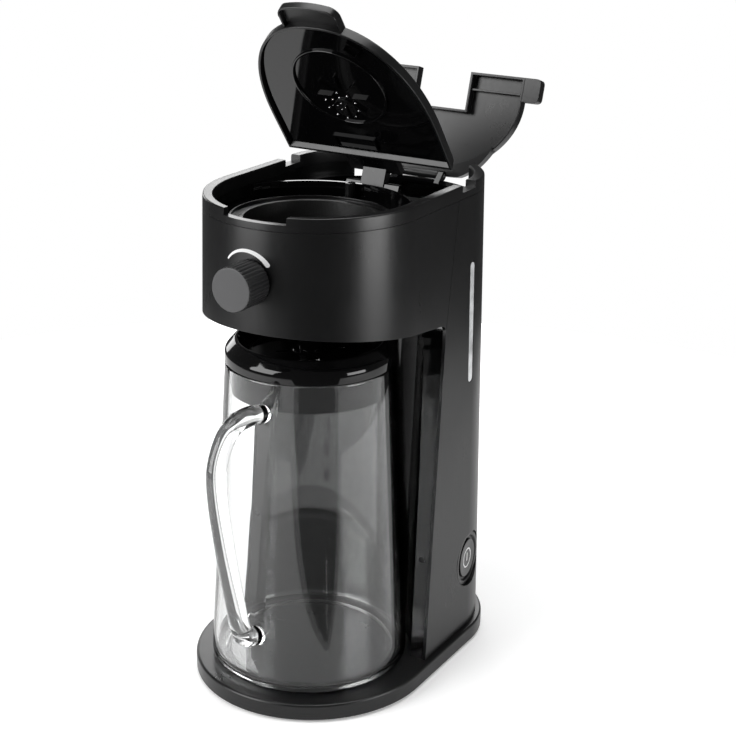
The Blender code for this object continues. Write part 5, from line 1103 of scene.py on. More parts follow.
        def surface(depth: float) -> np.ndarray:
            """The grid at a depth behind the front face."""
            z = np.full((60, 127), 0.1)
            for _ in range(4):
                radius = self.column_radius + depth + self.column_flare * (z - 0.014)
                strip = shape.seam_y(z) + shape.gap + depth
                start = np.arcsin((strip - shape.brew_y) / radius)
                angle = (math.pi - start[:, 3:-3]) + (2 * start[:, 3:-3] - math.pi) * turn
                edge = shape.half_width + shape.grow(z) - shape.wall - shape.gap
                x_in = radius * np.cos(start)
                out = np.linspace(0, 1, 4)[:-1][None, :]
                x = np.hstack([
                    -edge[:, :3] + (edge[:, :3] - x_in[:, :3]) * out, radius[:, 3:-3] * np.cos(angle),
                    edge[:, -3:] - (edge[:, -3:] - x_in[:, -3:]) * out[:, ::-1],
                ])
                y = np.hstack([strip[:, :3], shape.brew_y + radius[:, 3:-3] * np.sin(angle), strip[:, -3:]])
                crest = shape.underside_z(y[-1:]) + self.underside_recess - shape.gap
                z = shape.shell_bottom_z + (crest - shape.shell_bottom_z) * share
            return np.stack([x, y, z], -1)

        holes = []
        for side in (-1, 1):
            bore = Form.lathe([(0, -0.01), (0.0025, -0.01), (0.0025, 0.01), (0, 0.01)], 24)
            at = (side * 0.0745, float(shape.seam_y(0.0915)), 0.0915)
            bore = bore.turned(Matrix.Translation(at) @ Z_TO_FRONT)
            holes.append((Operation.CUT, bore))
        forge.piece(
            "column_panel_polished", Form.shell(surface(0), surface(self.panel_thickness)), "gloss_black_panel",
            Rider.HOUSING, ("column_front_panel",), holes, 0.0004, 2,
        )


@dataclass
class TopRing:
    """The rim ring on top of the shells."""

    bottom_z: float = 0.3564
    inner_half_width: float = 0.07
    inner_front: float = 0.0764
    inner_rear: float = 0.0585
    recess_half_width: float = 0.0246
    recess_z: float = 0.361
    side_notch: Pair = (0.0668, 0.0863)
    rear_gap: float = 0.052

    def build(self, forge: Forge, shape: BodyShape) -> None:
        """Builds the ring: its section (z, half width, front, rear) is carried round the plan form.

        Args:
            forge: The piece maker.
            shape: The body's plan form.
        """
        def outer(z: float) -> tuple[float, float, float, float]:
            """The section's outer corner at a height."""
            grow = shape.grow(z)
            return (z, shape.half_width + grow, shape.front + grow, shape.rear + grow)

        inner = (self.inner_half_width, self.inner_front, self.inner_rear)
        path = [outer(self.bottom_z), outer(shape.rim_z), (shape.rim_z, *inner), (self.bottom_z, *inner)]
        rows = fillet(path, [0.0001, 0.002, 0.0014, 0.0003], 6, True)
        flat = shape.plan(rows[:, 1], rows[:, 2], rows[:, 3])
        z = np.broadcast_to(rows[:, :1, None], (*flat.shape[:2], 1))
        ring = Form.tube_of_rows(np.concatenate([flat, z], -1), True)
        far = 0.2
        low, high = self.side_notch
        tools = [
            (
                Operation.CUT,
                Form.block((-self.recess_half_width, -far, self.recess_z), (self.recess_half_width, 0, 0.4)),
            ),
            (Operation.CUT, Form.block((-self.rear_gap, shape.side, 0.33), (self.rear_gap, far, 0.4))),
            (Operation.CUT, Form.block((-far, low, self.recess_z), (far, high, 0.4))),
        ]
        forge.piece(
            "top_ring_moulded", ring, "satin_black_shell", Rider.HOUSING, ("top_ring",), tools, 0.0004, 2
        )


@dataclass
class FrontLid:
    """The open front lid: its cover with the tab and arm, the ribbed liner and the shower's jets."""

    hinge_y: float = 0.077
    hinge_z: float = 0.353
    open_angle: float = 52.1
    tank_hinge_y: float = 0.1486
    tank_hinge_z: float = 0.35
    tank_lid_front_y: float = 0.0674
    tank_lid_top: float = 0.02
    swing_clearance: float = 0.0004
    half_width: float = 0.068
    tip: float = 0.0755
    side_length: float = 0.033
    nose_share: float = 2.25
    low: float = 0.007
    height: float = 0.008
    wall: float = 0.002
    liner_inset: float = 0.0023
    liner_low: float = 0.010
    liner_high: float = 0.0122
    ridge_low: float = 0.0084
    ridge_radius: float = 0.036
    ridge_setback: float = 0.0704
    rib_setback: float = 0.0624
    knuckle_x: float = 0.0095
    barrel: float = 0.004
    web_x: float = 0.021
    web_y: float = 0.0065
    rib_low: float = 0.0078
    clip_place: Pair = (0.0247, -0.1341)
    clip_turn: float = 37.6
    jet_place: Pair = (-0.0045, -0.0745)
    jet_reach: float = 0.0125

    @property
    def pose(self) -> Matrix:
        """The lid's frame: its hinge axis turned by the open angle."""
        turn = Matrix.Rotation(math.radians(-self.open_angle), 4, "X")
        return Matrix.Translation((0, self.hinge_y, self.hinge_z)) @ turn

    def rear(self, height: np.ndarray | float) -> np.ndarray | float:
        """Where the lid's rear end lies at a height, clear of the tank lid's swing."""
        angle = math.radians(self.open_angle)
        behind, above = self.tank_hinge_y - self.hinge_y, self.tank_hinge_z - self.hinge_z
        centre_y = behind * math.cos(angle) - above * math.sin(angle)
        centre_z = behind * math.sin(angle) + above * math.cos(angle)
        reach = math.hypot(self.tank_hinge_y - self.tank_lid_front_y, self.tank_lid_top)
        swing = reach + self.swing_clearance
        return centre_y - np.sqrt(swing**2 - (centre_z - height) ** 2)

    def outline(self, height: np.ndarray, inset: np.ndarray, steps: int = 120) -> np.ndarray:
        """The lid's outlines from its hinge axis.

        The nose is (-w cos a |cos a|^(2/n - 1), -d sin(a)^(2/n)) from one side to the other, then come the
        straight sides and the rear edge.

        Args:
            height: The height of each outline.
            inset: How far each lies inside the surface.
            steps: Spans round the nose.

        Returns:
            An array of outlines by points by 3.
        """
        height, inset = (np.atleast_1d(np.asarray(a, float))[:, None] for a in (height, inset))
        straight = self.hinge_y + float(self.rear(self.low)) - self.side_length
        angle = np.linspace(0, math.pi, steps + 1)[None, :]
        power = 2 / self.nose_share
        across = -np.sign(np.cos(angle)) * np.abs(np.cos(angle)) ** power
        ahead = np.clip(np.sin(angle), 0, 1) ** power
        half = self.half_width - inset
        rear = self.hinge_y + self.rear(height) - inset
        side = np.linspace(0, 1, 8)[None, 1:]
        back = np.linspace(1, -1, 12)[None, 1:-1]
        x = np.hstack([half * across, half * np.ones_like(side), half * back, -half * np.ones_like(side)])
        nose = straight - (straight + self.tip - inset) * ahead
        flank = straight + (rear - straight) * side
        y = np.hstack([nose, flank, rear * np.ones_like(back), flank[:, ::-1]])
        z = np.broadcast_to(height, x.shape)
        return np.stack([x, y - self.hinge_y, z], -1)

    def arm(self, low_reach: float, high_reach: float, low: float, high: float, drop: float) -> np.ndarray:
        """The side outline of the hinge arm, round its axis at one end."""
        angle = np.radians(np.linspace(210, 400, 20))
        end = np.stack([self.barrel * np.cos(angle), self.barrel * np.sin(angle)], -1)
        return np.vstack([[(-low_reach, low), (-drop, low)], end, [(-drop / 2, high), (-high_reach, high)]])

    def tab(self) -> Form:
        """The finger tab: a lipped section carried across, its front corners rounded in plan."""
        high = self.low + self.height - 0.0008
        low = 0.3613 - self.hinge_z
        root, end = -0.0764, -0.0919
        section = [
            (root + 0.004, high), (end, high), (end, low), (end + 0.0018, low), (end + 0.0018, high - 0.0022),
            (root + 0.004, high - 0.0022),
        ]
        radii = [0, 0.0013, 0.0007, 0.0005, 0.0009, 0]
        section = fillet(np.array(section), radii, 4, True)
        x = 0.0228 * np.sin(np.linspace(-math.pi / 2, math.pi / 2, 61))[:, None]
        sag = 0.0814 * (1 - np.sqrt(1 - (x / 0.078) ** 2))
        round_at, radius = 0.0168, 0.006
        corner = radius - np.sqrt(np.maximum(radius**2 - np.maximum(np.abs(x) - round_at, 0) ** 2, 0))
        ahead = np.clip((-0.0764 - section[:, 0]) / 0.0155, 0, 1)[None, :]
        y = section[:, 0][None, :] + sag + corner * ahead - self.hinge_y
        inner = (section[:, 1] > low + 0.0006) & (section[:, 1] < high - 0.0008)
        inner &= section[:, 0] > end + 0.0012
        closed = np.clip((np.abs(x) - 0.0208) / 0.0006, 0, 1) * inner[None, :]
        z = section[:, 1][None, :] + closed * (low + 0.0002 - section[:, 1])[None, :]
        return Form.tube_of_rows(np.stack([np.broadcast_to(x, y.shape), y, z], -1))

    def build(self, forge: Forge) -> None:
        """Builds the cover, the liner and the jets."""
        high = self.low + self.height
        path = [
            (high - self.wall, self.wall), (self.low, self.wall), (self.low, 0), (high, 0), (high, 0.014),
        ]
        rows = fillet(path, [0, 0.0005, 0.0005, 0.0026, 0], 6)
        cover = Form.tube_of_rows(self.outline(rows[:, 0], rows[:, 1]))
        low, top = self.low + self.wall, high - 0.0008
        reach = [0.0008 - float(self.rear(z)) for z in (low, top)]
        arm = Form.prism(self.arm(*reach, low, top, 0.0105), -self.knuckle_x, self.knuckle_x, 0)
        bore = Form.lathe([(0, -0.05), (0.0018, -0.05), (0.0018, 0.05), (0, 0.05)], 24)
        bore = bore.turned(Z_TO_X)
        body = self.pose
        forge.piece(
            "front_lid_cover_moulded", (cover + self.tab()).turned(body), "satin_black_shell", Rider.FRONT_LID,
            ("front_lid_cover",), None, 0.0003,
        )
        arm += Form.block((-self.web_x, -reach[0], low), (self.web_x, -self.web_y, top), 0.0004)
        forge.piece(
            "front_lid_arm", arm.turned(body), "satin_black_shell", Rider.FRONT_LID, (),
            [(Operation.CUT, bore.turned(body))], 0.0005,
        )
        self.build_liner(forge, body)

    def build_liner(self, forge: Forge, body: Matrix) -> None:
        """Builds the glossy liner with its ridge, ribs and inlet box, and the shower's jets.

        Args:
            forge: The piece maker.
            body: The lid's frame.
        """
        heights = np.array([self.liner_low, self.liner_low + 0.0004, self.liner_high])
        insets = np.array([self.liner_inset + 0.0004, self.liner_inset, self.liner_inset])
        liner = Form.tube_of_rows(self.outline(heights, insets))
        overlap = self.liner_low + 0.0008
        rear = float(self.rear(self.low))
        inner = self.ridge_radius - 0.002
        ridge = [
            (inner, self.ridge_low), (self.ridge_radius, self.ridge_low), (self.ridge_radius, overlap),
            (inner, overlap),
        ]
        ridge = fillet(np.array(ridge), [0.0006, 0.0006, 0, 0], 4, True)
        liner += Form.lathe(ridge, 128, True).moved((0, rear - self.ridge_setback, 0))
        for number in range(8):
            rib = Form.block((0.008, -0.0006, self.rib_low), (0.02, 0.0006, overlap), 0.0005)
            turn = Matrix.Rotation(math.radians(45 * number), 4, "Z")
            liner += rib.turned(Matrix.Translation((0, rear - self.rib_setback, 0)) @ turn)
        front, back = rear - 0.0194, float(self.rear(self.liner_high)) - self.liner_inset - self.wall
        walls = [
            ((-0.024, front), (0.011, front + 0.0014)), ((-0.024, back - 0.0014), (0.011, back)),
            ((-0.024, front), (-0.0226, back)), ((0.0096, front), (0.011, back)),
        ]
        for low, high in walls:
            liner += Form.block((*low, self.ridge_low), (*high, overlap), 0.0003)
        low = self.rib_low - 0.0002
        sides = [
            ((-0.0054, -0.0048), (-0.0044, 0.0048)), ((0.0044, -0.0048), (0.0054, 0.0048)),
            ((-0.0048, -0.0048), (0.0048, -0.004)), ((-0.0048, 0.004), (0.0048, 0.0048)),
        ]
        turn = Matrix.Rotation(math.radians(self.clip_turn), 4, "Z")
        turn = Matrix.Translation((*self.clip_place, 0)) @ turn
        for near, far in sides:
            liner += Form.block((*near, low), (*far, overlap), 0.0003).turned(turn)
        forge.piece(
            "front_lid_liner_polished", liner.turned(body), "gloss_black_panel", Rider.FRONT_LID,
            ("front_lid_liner",), None, 0.0003,
        )
        dome = fillet(np.array([(0.0008, 0.0004), (0.0008, -0.0003), (0, -0.0007)]), [0, 0.0005, 0], 4)
        dome = np.vstack([[(0, 0.0004)], dome])
        jets = Form(np.empty((0, 3)), [])
        for count, share in ((4, 0.25), (7, 0.62), (10, 1.0)):
            for number in range(count):
                angle = FULL_TURN * (number + 0.5 * share) / count
                x, y = self.jet_place
                reach = self.jet_reach * share
                level = 0.0089 if share < 0.5 else 0.0098
                at = (x + reach * math.cos(angle), y + reach * math.sin(angle), level)
                jets += Form.lathe(dome, 10).moved(at)
        forge.piece("shower_jets", jets.turned(body), "bright_steel", Rider.FRONT_LID)


@dataclass
class TankLid:
    """The open tank lid with its ribs, finger tabs and hinge arm."""

    hinge_y: float = 0.1486
    hinge_z: float = 0.35
    open_angle: float = 107.0
    half_width: float = 0.068
    rear_depth: float = 0.0565
    side_y: float = 0.087
    front_y: float = 0.0674
    notch_x: float = 0.0225
    notch_depth: float = 0.029
    low: float = 0.011
    height: float = 0.009
    wall: float = 0.002
    tab_x: float = 0.0812
    barrel: float = 0.0034
    barrel_x: float = 0.0154
    flange_x: float = 0.0514
    flange_low: float = 0.0085
    flange_high: float = 0.0158

    @property
    def pose(self) -> Matrix:
        """The lid's frame: its hinge axis turned by the open angle."""
        turn = Matrix.Rotation(math.radians(-self.open_angle), 4, "X")
        return Matrix.Translation((0, self.hinge_y, self.hinge_z)) @ turn

    def outline(self, height: np.ndarray, inset: np.ndarray) -> np.ndarray:
        """The lid's outlines from its hinge axis: straight edges round the notch, then an elliptic rear.

        Args:
            height: The height of each outline.
            inset: How far each lies inside the surface.

        Returns:
            An array of outlines by points by 3.
        """
        height, inset = (np.atleast_1d(np.asarray(a, float))[:, None] for a in (height, inset))
        half, rear = self.half_width - inset, self.rear_depth - inset
        notch, front = self.notch_x + inset, self.front_y + inset
        deep = front + self.notch_depth
        angle = np.linspace(0, math.pi, 97)[None, :]
        x = np.hstack([-half, -notch, -notch, notch, notch, half, half * np.cos(angle)])
        y = np.hstack([front, front, deep, deep, front, front, self.side_y + rear * np.sin(angle)])
        return np.stack([x, y - self.hinge_y, np.broadcast_to(height, x.shape)], -1)

    def rear_flange(self) -> Form:
        """The strip that fills the rim's rear gap once the lid is shut.

        Its inner edge follows the lid and its outer edge the rim: y = side + depth sqrt(1 - (x/width)^2). It
        narrows towards its ends with the fourth power of x.
        """
        x = np.linspace(-self.flange_x, self.flange_x, 61)
        inner = self.side_y + self.rear_depth * np.sqrt(1 - (x / self.half_width) ** 2) - self.wall
        outer = np.minimum(self.side_y + 0.0658 * np.sqrt(1 - (x / 0.0778) ** 2), self.hinge_y)
        outer = inner + (outer - inner) * (1 - 0.86 * (x / self.flange_x) ** 4)
        low, high = self.flange_low, self.flange_high
        rows = [(x, y - self.hinge_y, np.full_like(x, z)) for y, z in (
            (inner, low), (outer, low), (outer, high), (inner, high),
        )]
        return Form.tube_of_rows(np.stack([np.stack(row, -1) for row in rows], 1))

    def build(self, forge: Forge) -> None:
        """Builds the lid as one moulding with its ribs and tabs, and its arm."""
        high = self.low + self.height
        path = [(high - self.wall, self.wall), (self.low, self.wall), (self.low, 0), (high, 0), (high, 0.01)]
        rows = fillet(path, [0, 0.0004, 0.0004, 0.002, 0], 5)
        lid = Form.tube_of_rows(self.outline(rows[:, 0], rows[:, 1]))
        rib_y = self.front_y + 0.012 - self.hinge_y
        tab_y = self.front_y - self.hinge_y
        tab_low = 0.3613 - self.hinge_z
        for side in (-1, 1):
            xs = sorted((side * (self.notch_x + self.wall / 2), side * (self.half_width - self.wall / 2)))
            lid += Form.block(
                (xs[0], rib_y, self.low + 0.002), (xs[1], rib_y + 0.0015, high - self.wall / 2), 0.0002
            )
            xs = sorted((side * (self.half_width - self.wall / 2), side * self.tab_x))
            tab_end = tab_y + 0.018
            outline = np.array([(xs[0], tab_y), (xs[1], tab_y), (xs[1], tab_end), (xs[0], tab_end)])
            radii = [0.0003, 0.004, 0.004, 0.0003] if side > 0 else [0.004, 0.0003, 0.0003, 0.004]
            lid += Form.prism(fillet(outline, radii, 6, True), tab_low, high - 0.0008)
        lid += self.rear_flange()
        body = self.pose
        forge.piece(
            "tank_lid_moulded", lid.turned(body), "satin_black_shell", Rider.REAR_LID, ("tank_lid",), None, 0.0004
        )
        reach = self.hinge_y - (self.side_y + self.rear_depth) + self.wall + 0.002
        angle = np.radians(np.linspace(210, 400, 20))
        end = np.stack([self.barrel * np.cos(angle), self.barrel * np.sin(angle)], -1)
        top = high - 0.0008
        arm = [[(-reach, self.low), (-self.barrel, self.low)], end, [(-self.barrel / 2, top), (-reach, top)]]
        bore = Form.lathe([(0, -0.05), (0.0018, -0.05), (0.0018, 0.05), (0, 0.05)], 24)
        bore = bore.turned(body @ Z_TO_X)
        forge.piece(
            "tank_lid_arm", Form.prism(np.vstack(arm), -self.barrel_x, self.barrel_x, 0).turned(body),
            "satin_black_shell", Rider.REAR_LID, (), [(Operation.CUT, bore)], 0.0004,
        )


@dataclass
class Jug:
    """The glass jug with its handle."""

    bottom_z: float = 0.016
    height: float = 0.23
    foot: float = 0.073
    rim: float = 0.0607
    wall: float = 0.003
    floor: float = 0.004
    foot_rise: float = 0.0012
    foot_ring: Pair = (0.012, 0.009)
    edges: tuple[float, ...] = (0, 0.002, 0.001, 0.006, 0.0014, 0.0014, 0.0055, 0)
    steps: int = 160
    handle_radius: float = 0.007
    handle_reach: float = 0.1165
    handle_low: float = 0.06
    handle_high: float = 0.227
    handle_knots: tuple[Pair, ...] = (
        (0.69, 1.0), (0.845, 0.988), (0.957, 0.91), (1.0, 0.802), (0.9365, 0.515), (0.825, 0.195),
        (0.745, 0.03),
    )
    handle_spans: int = 14
    handle_steps: int = 32

    def radius(self, z: float) -> float:
        """The jug's outer radius at a height."""
        return self.foot + (self.rim - self.foot) * (z - self.bottom_z) / self.height

    def glass(self) -> Form:
        """The turned glass about its own axis.

        Returns:
            The closed form.
        """
        low, top = self.bottom_z, self.bottom_z + self.height
        floor, rise = low + self.floor, low + self.foot_rise
        ring_inner, ring_outer = self.foot_ring
        path = [
            (0, rise), (self.foot - ring_inner, rise), (self.foot - ring_outer, low), (self.foot, low),
            (self.rim, top), (self.rim - self.wall, top), (self.radius(floor) - self.wall, floor), (0, floor),
        ]
        return Form.lathe(fillet(path, self.edges, 8), self.steps)

    def handle(self) -> Form:
        """The handle's round rod, along a smooth path through shares of its reach and rise.

        Returns:
            The closed form.
        """
        low, rise = self.handle_low, self.handle_high - self.handle_low
        upper = self.handle_high - self.handle_radius / 2
        start = (0, -(self.radius(upper) - self.wall / 2), upper)
        end = (0, -(self.radius(low) - self.wall / 2), low - self.handle_radius / 2)
        knots = [(0, -self.handle_reach * out, low + rise * up) for out, up in self.handle_knots]
        path = smooth_path(np.array([start, *knots, end]), self.handle_spans)
        return Form.rod(path, self.handle_radius, self.handle_steps)

    def build(self, forge: Forge, axis: Point) -> None:
        """Builds the glass with its handle.

        Args:
            forge: The piece maker.
            axis: Where the jug's axis meets the floor.
        """
        forge.piece(
            "jug_glass_blown", self.glass().moved(axis), "jug_glass_clear", Rider.JUG, ("jug_glass",),
            [(Operation.JOIN, self.handle().moved(axis))],
        )


@dataclass
class JugLid:
    """The jug's dished lid with its collar, boss and slots."""

    top_z: float = 0.2623
    wall: float = 0.002
    side_gap: float = 0.00045
    seat_gap: float = 0.0003
    skirt_depth: float = 0.021
    collar_height: float = 0.008
    shoulder_inset: float = 0.007
    dish_depth: float = 0.01
    dish_slope: float = 0.008
    boss_foot: float = 0.013
    boss_step: float = 0.012
    boss: float = 0.008
    edges: tuple[float, ...] = (
        0.0005, 0.0005, 0.0002, 0.0006, 0.002, 0.0012, 0.0008, 0.0025, 0.0004, 0.0004, 0.0004, 0.0008, 0, 0,
        0.0004, 0.0004, 0.0004, 0.0004, 0.0004, 0.0008,
    )
    steps: int = 144
    slot_inner: float = 0.016
    slot_outer: float = 0.025
    slot_half_width: float = 0.0015
    slot_edge: float = 0.0014

    def build(self, forge: Forge, jug: Jug, axis: Point) -> None:
        """Builds the lid as a turned section with four slots cut at 45 degrees to the handle.

        Args:
            forge: The piece maker.
            jug: The jug that it closes.
            axis: Where the jug's axis meets the floor.
        """
        wall, crest, boss = self.wall, self.top_z, self.boss
        skirt, seat = jug.rim - jug.wall - self.side_gap, jug.bottom_z + jug.height + self.seat_gap
        dish, shoulder = crest - self.dish_depth, jug.rim - self.shoulder_inset
        edge = shoulder - wall - self.dish_slope
        path = [
            (skirt - wall, seat - self.skirt_depth), (skirt, seat - self.skirt_depth), (skirt, seat),
            (jug.rim, seat), (jug.rim, seat + self.collar_height), (shoulder, crest),
            (shoulder - wall, crest), (edge, dish), (self.boss_foot, dish),
            (self.boss_step, dish + wall / 2), (boss, dish + wall / 2), (boss, crest), (0, crest),
            (0, crest - wall), (boss - wall, crest - wall), (boss - wall, dish - wall),
            (edge - wall / 2, dish - wall), (shoulder - 1.5 * wall, crest - 1.5 * wall),
            (shoulder - wall / 2, crest - 1.5 * wall), (skirt - wall, seat + wall),
        ]
        form = Form.lathe(fillet(path, self.edges, 5, True), self.steps, True)
        half = self.slot_half_width
        slot = Form.block(
            (self.slot_inner, -half, dish - 2 * wall), (self.slot_outer, half, dish + wall), self.slot_edge
        )
        tools = []
        for degrees in (45, 135, 225, 315):
            frame = Matrix.Translation(axis) @ Matrix.Rotation(math.radians(degrees), 4, "Z")
            tools.append((Operation.CUT, slot.turned(frame)))
        forge.piece("jug_lid_moulded", form.moved(axis), "gloss_black_panel", Rider.JUG_COVER, ("jug_lid",), tools)


@dataclass
class Basket:
    """The lift-out basket and its filter."""

    deck_top_z: float = 0.346
    hole: float = 0.0515
    rim: float = 0.057
    rim_height: float = 0.004
    wall: float = 0.0016
    gap: float = 0.0003
    side_gap: float = 0.0018
    taper: float = 0.0035
    well_floor: float = 0.2883
    floor_rise: float = 0.0022
    nozzle_z: float = 0.267
    nozzle: float = 0.012
    nozzle_inner: float = 0.0104
    outlet: float = 0.0045
    floor_hole: float = 0.006
    edges: tuple[float, ...] = (
        0.0003, 0.001, 0.0005, 0.002, 0.0003, 0.0003, 0.0007, 0.0006, 0.0005, 0.0005, 0.001, 0.0003, 0.0003,
        0.0003, 0.0003, 0.0003,
    )
    filter_thickness: float = 0.0007
    filter_rim: float = 0.0026
    filter_edges: tuple[float, ...] = (0, 0.002, 0.0003, 0.0003, 0.0003, 0.0003, 0.002, 0)
    steps: int = 128

    def build(self, forge: Forge, axis: Point) -> None:
        """Builds the basket and the filter as turned profiles.

        Args:
            forge: The piece maker.
            axis: Where the brewing axis meets the floor.
        """
        wall, nozzle_z = self.wall, self.nozzle_z
        rim_low = self.deck_top_z + self.gap
        rim_high, step = rim_low + self.rim_height, rim_low + wall
        outer_top = self.hole - self.side_gap
        outer_low, bottom = outer_top - self.taper, self.well_floor + self.floor_rise
        floor, inner_top, inner_low = bottom + wall, outer_top - wall, outer_top - self.taper - wall
        path = [
            (self.outlet, nozzle_z), (self.nozzle, nozzle_z), (self.nozzle, bottom), (outer_low, bottom),
            (outer_top, rim_low), (self.rim, rim_low), (self.rim, rim_high), (self.rim - wall, rim_high),
            (self.rim - wall, step), (inner_top, step), (inner_low, floor), (self.floor_hole, floor),
            (self.floor_hole, bottom), (self.nozzle_inner, bottom), (self.nozzle_inner, nozzle_z + wall),
            (self.outlet, nozzle_z + wall),
        ]
        basket = Form.lathe(fillet(path, self.edges, 4, True), self.steps, True)
        forge.piece("brew_basket_moulded", basket.moved(axis), "satin_black_shell", Rider.BASKET, ("brew_basket",))
        low, high = floor + self.gap, step + self.gap
        top, foot, thin = inner_top - 2 * self.gap, inner_low - 2 * self.gap, self.filter_thickness
        rim = top + self.filter_rim
        path = [
            (0, low), (foot, low), (top, high), (rim, high), (rim, high + thin), (top - thin, high + thin),
            (foot - thin, low + thin), (0, low + thin),
        ]
        gauze = Form.lathe(fillet(path, self.filter_edges, 4), self.steps)
        forge.piece("brew_filter_gauze", gauze.moved(axis), "filter_gauze", Rider.BASKET, ("brew_filter",))


@dataclass
class Dial:
    """The strength dial with its printed arc."""

    z: float = 0.3207
    radius: float = 0.0153
    back: float = 0.0006
    front: float = 0.0231
    back_inset: float = 0.0118
    back_edge: float = 0.0003
    front_edge: float = 0.0011
    front_ring: float = 0.0022
    ribs: int = 32
    rib_steps: int = 10
    rib_depth: float = 0.0005
    rib_fade: float = 0.0008
    face_inset: float = 0.0006
    face_sunk: float = 0.0006
    face_edge: float = 0.0004
    face_bevel: float = 0.001
    face_heights: Point = (0.00015, 0.0002, 0.0001)
    face_steps: int = 128
    arc_x: float = -0.0036
    arc_radius: float = 0.0204
    arc_span: Pair = (-54.0, 56.0)
    arc_half_widths: Pair = (0.0006, 0.0012)
    arc_end: float = 0.0004
    arc_raised: float = 0.00008
    arc_sunk: float = 0.0004

    def y(self, shape: BodyShape) -> float:
        """The depth of the head's surface at the dial."""
        return -(shape.front + float(shape.grow(self.z)))

    def axis(self, shape: BodyShape) -> Matrix:
        """The dial's frame on the head's surface, its Z pointing forward."""
        return Matrix.Translation((0, self.y(shape), self.z)) @ Z_TO_FRONT

    def build(self, forge: Forge, shape: BodyShape) -> None:
        """Builds the ribbed dial, its face and the printed arc.

        The side's radius is r - d (0.5 - 0.5 cos(n a))^2 for n ribs of depth d, which fade at the edge.

        Args:
            forge: The piece maker.
            shape: The body's plan form.
        """
        path = [(self.back_inset, self.back), (0, self.back), (0, self.front), (self.radius, self.front)]
        rows = fillet(path, [0, self.back_edge, self.front_edge, 0], 6)
        rows = np.insert(rows, -1, (self.front_ring, self.front), axis=0)
        angle = np.linspace(0, FULL_TURN, self.ribs * self.rib_steps, endpoint=False)[None, :]
        inset = rows[:, :1]
        groove = self.rib_depth * (0.5 - 0.5 * np.cos(self.ribs * angle)) ** 2
        radius = self.radius - inset - groove * np.clip(1 - inset / self.rib_fade, 0, 1)
        height = np.broadcast_to(rows[:, 1:], radius.shape)
        side = Form.tube_of_rows(np.stack([radius * np.cos(angle), radius * np.sin(angle), height], -1))
        axis = self.axis(shape)
        forge.piece("strength_dial_ribbed", side.turned(axis), "dial_side_black", Rider.DIAL, ("strength_dial",))
        edge, low = self.radius - self.face_inset, self.front - self.face_sunk
        rim, bevel, middle = (self.front + rise for rise in self.face_heights)
        path = [(0, low), (edge, low), (edge, rim), (edge - self.face_bevel, bevel), (0, middle)]
        face = Form.lathe(fillet(path, [0, 0, self.face_edge, self.face_edge, 0], 4), self.face_steps)
        forge.piece("strength_dial_face", face.turned(axis), "dial_face_grey", Rider.DIAL)
        self.build_arc(forge, shape)

    def build_arc(self, forge: Forge, shape: BodyShape) -> None:
        """Builds the printed arc over the dial: it widens from left to right and has round ends.

        A point is (R + s w(t)) from the dial's axis at an angle that runs with t, laid on the head.

        Args:
            forge: The piece maker.
            shape: The body's plan form.
        """
        t = np.linspace(0, 1, 97)[:, None]
        s = np.linspace(-1, 1, 9)[None, :]
        first, last = self.arc_span
        angle = np.radians(first + (last - first) * t)
        width = self.arc_half_widths[0] + self.arc_half_widths[1] * t
        length = self.arc_radius * np.radians(last - first)
        near = np.minimum(np.minimum(t, 1 - t) * length / width, 1)
        width = width * np.sqrt(np.maximum(1 - (1 - near) ** 2, self.arc_end))
        radius = self.arc_radius + s * width
        x, z = self.arc_x + radius * np.sin(angle), self.z + radius * np.cos(angle)
        y = shape.front_y(x, z)
        outer, inner = (np.stack([x, y + offset, z], -1) for offset in (-self.arc_raised, self.arc_sunk))
        forge.piece("strength_arc_print", Form.shell(outer, inner), "white_print", Rider.HOUSING)


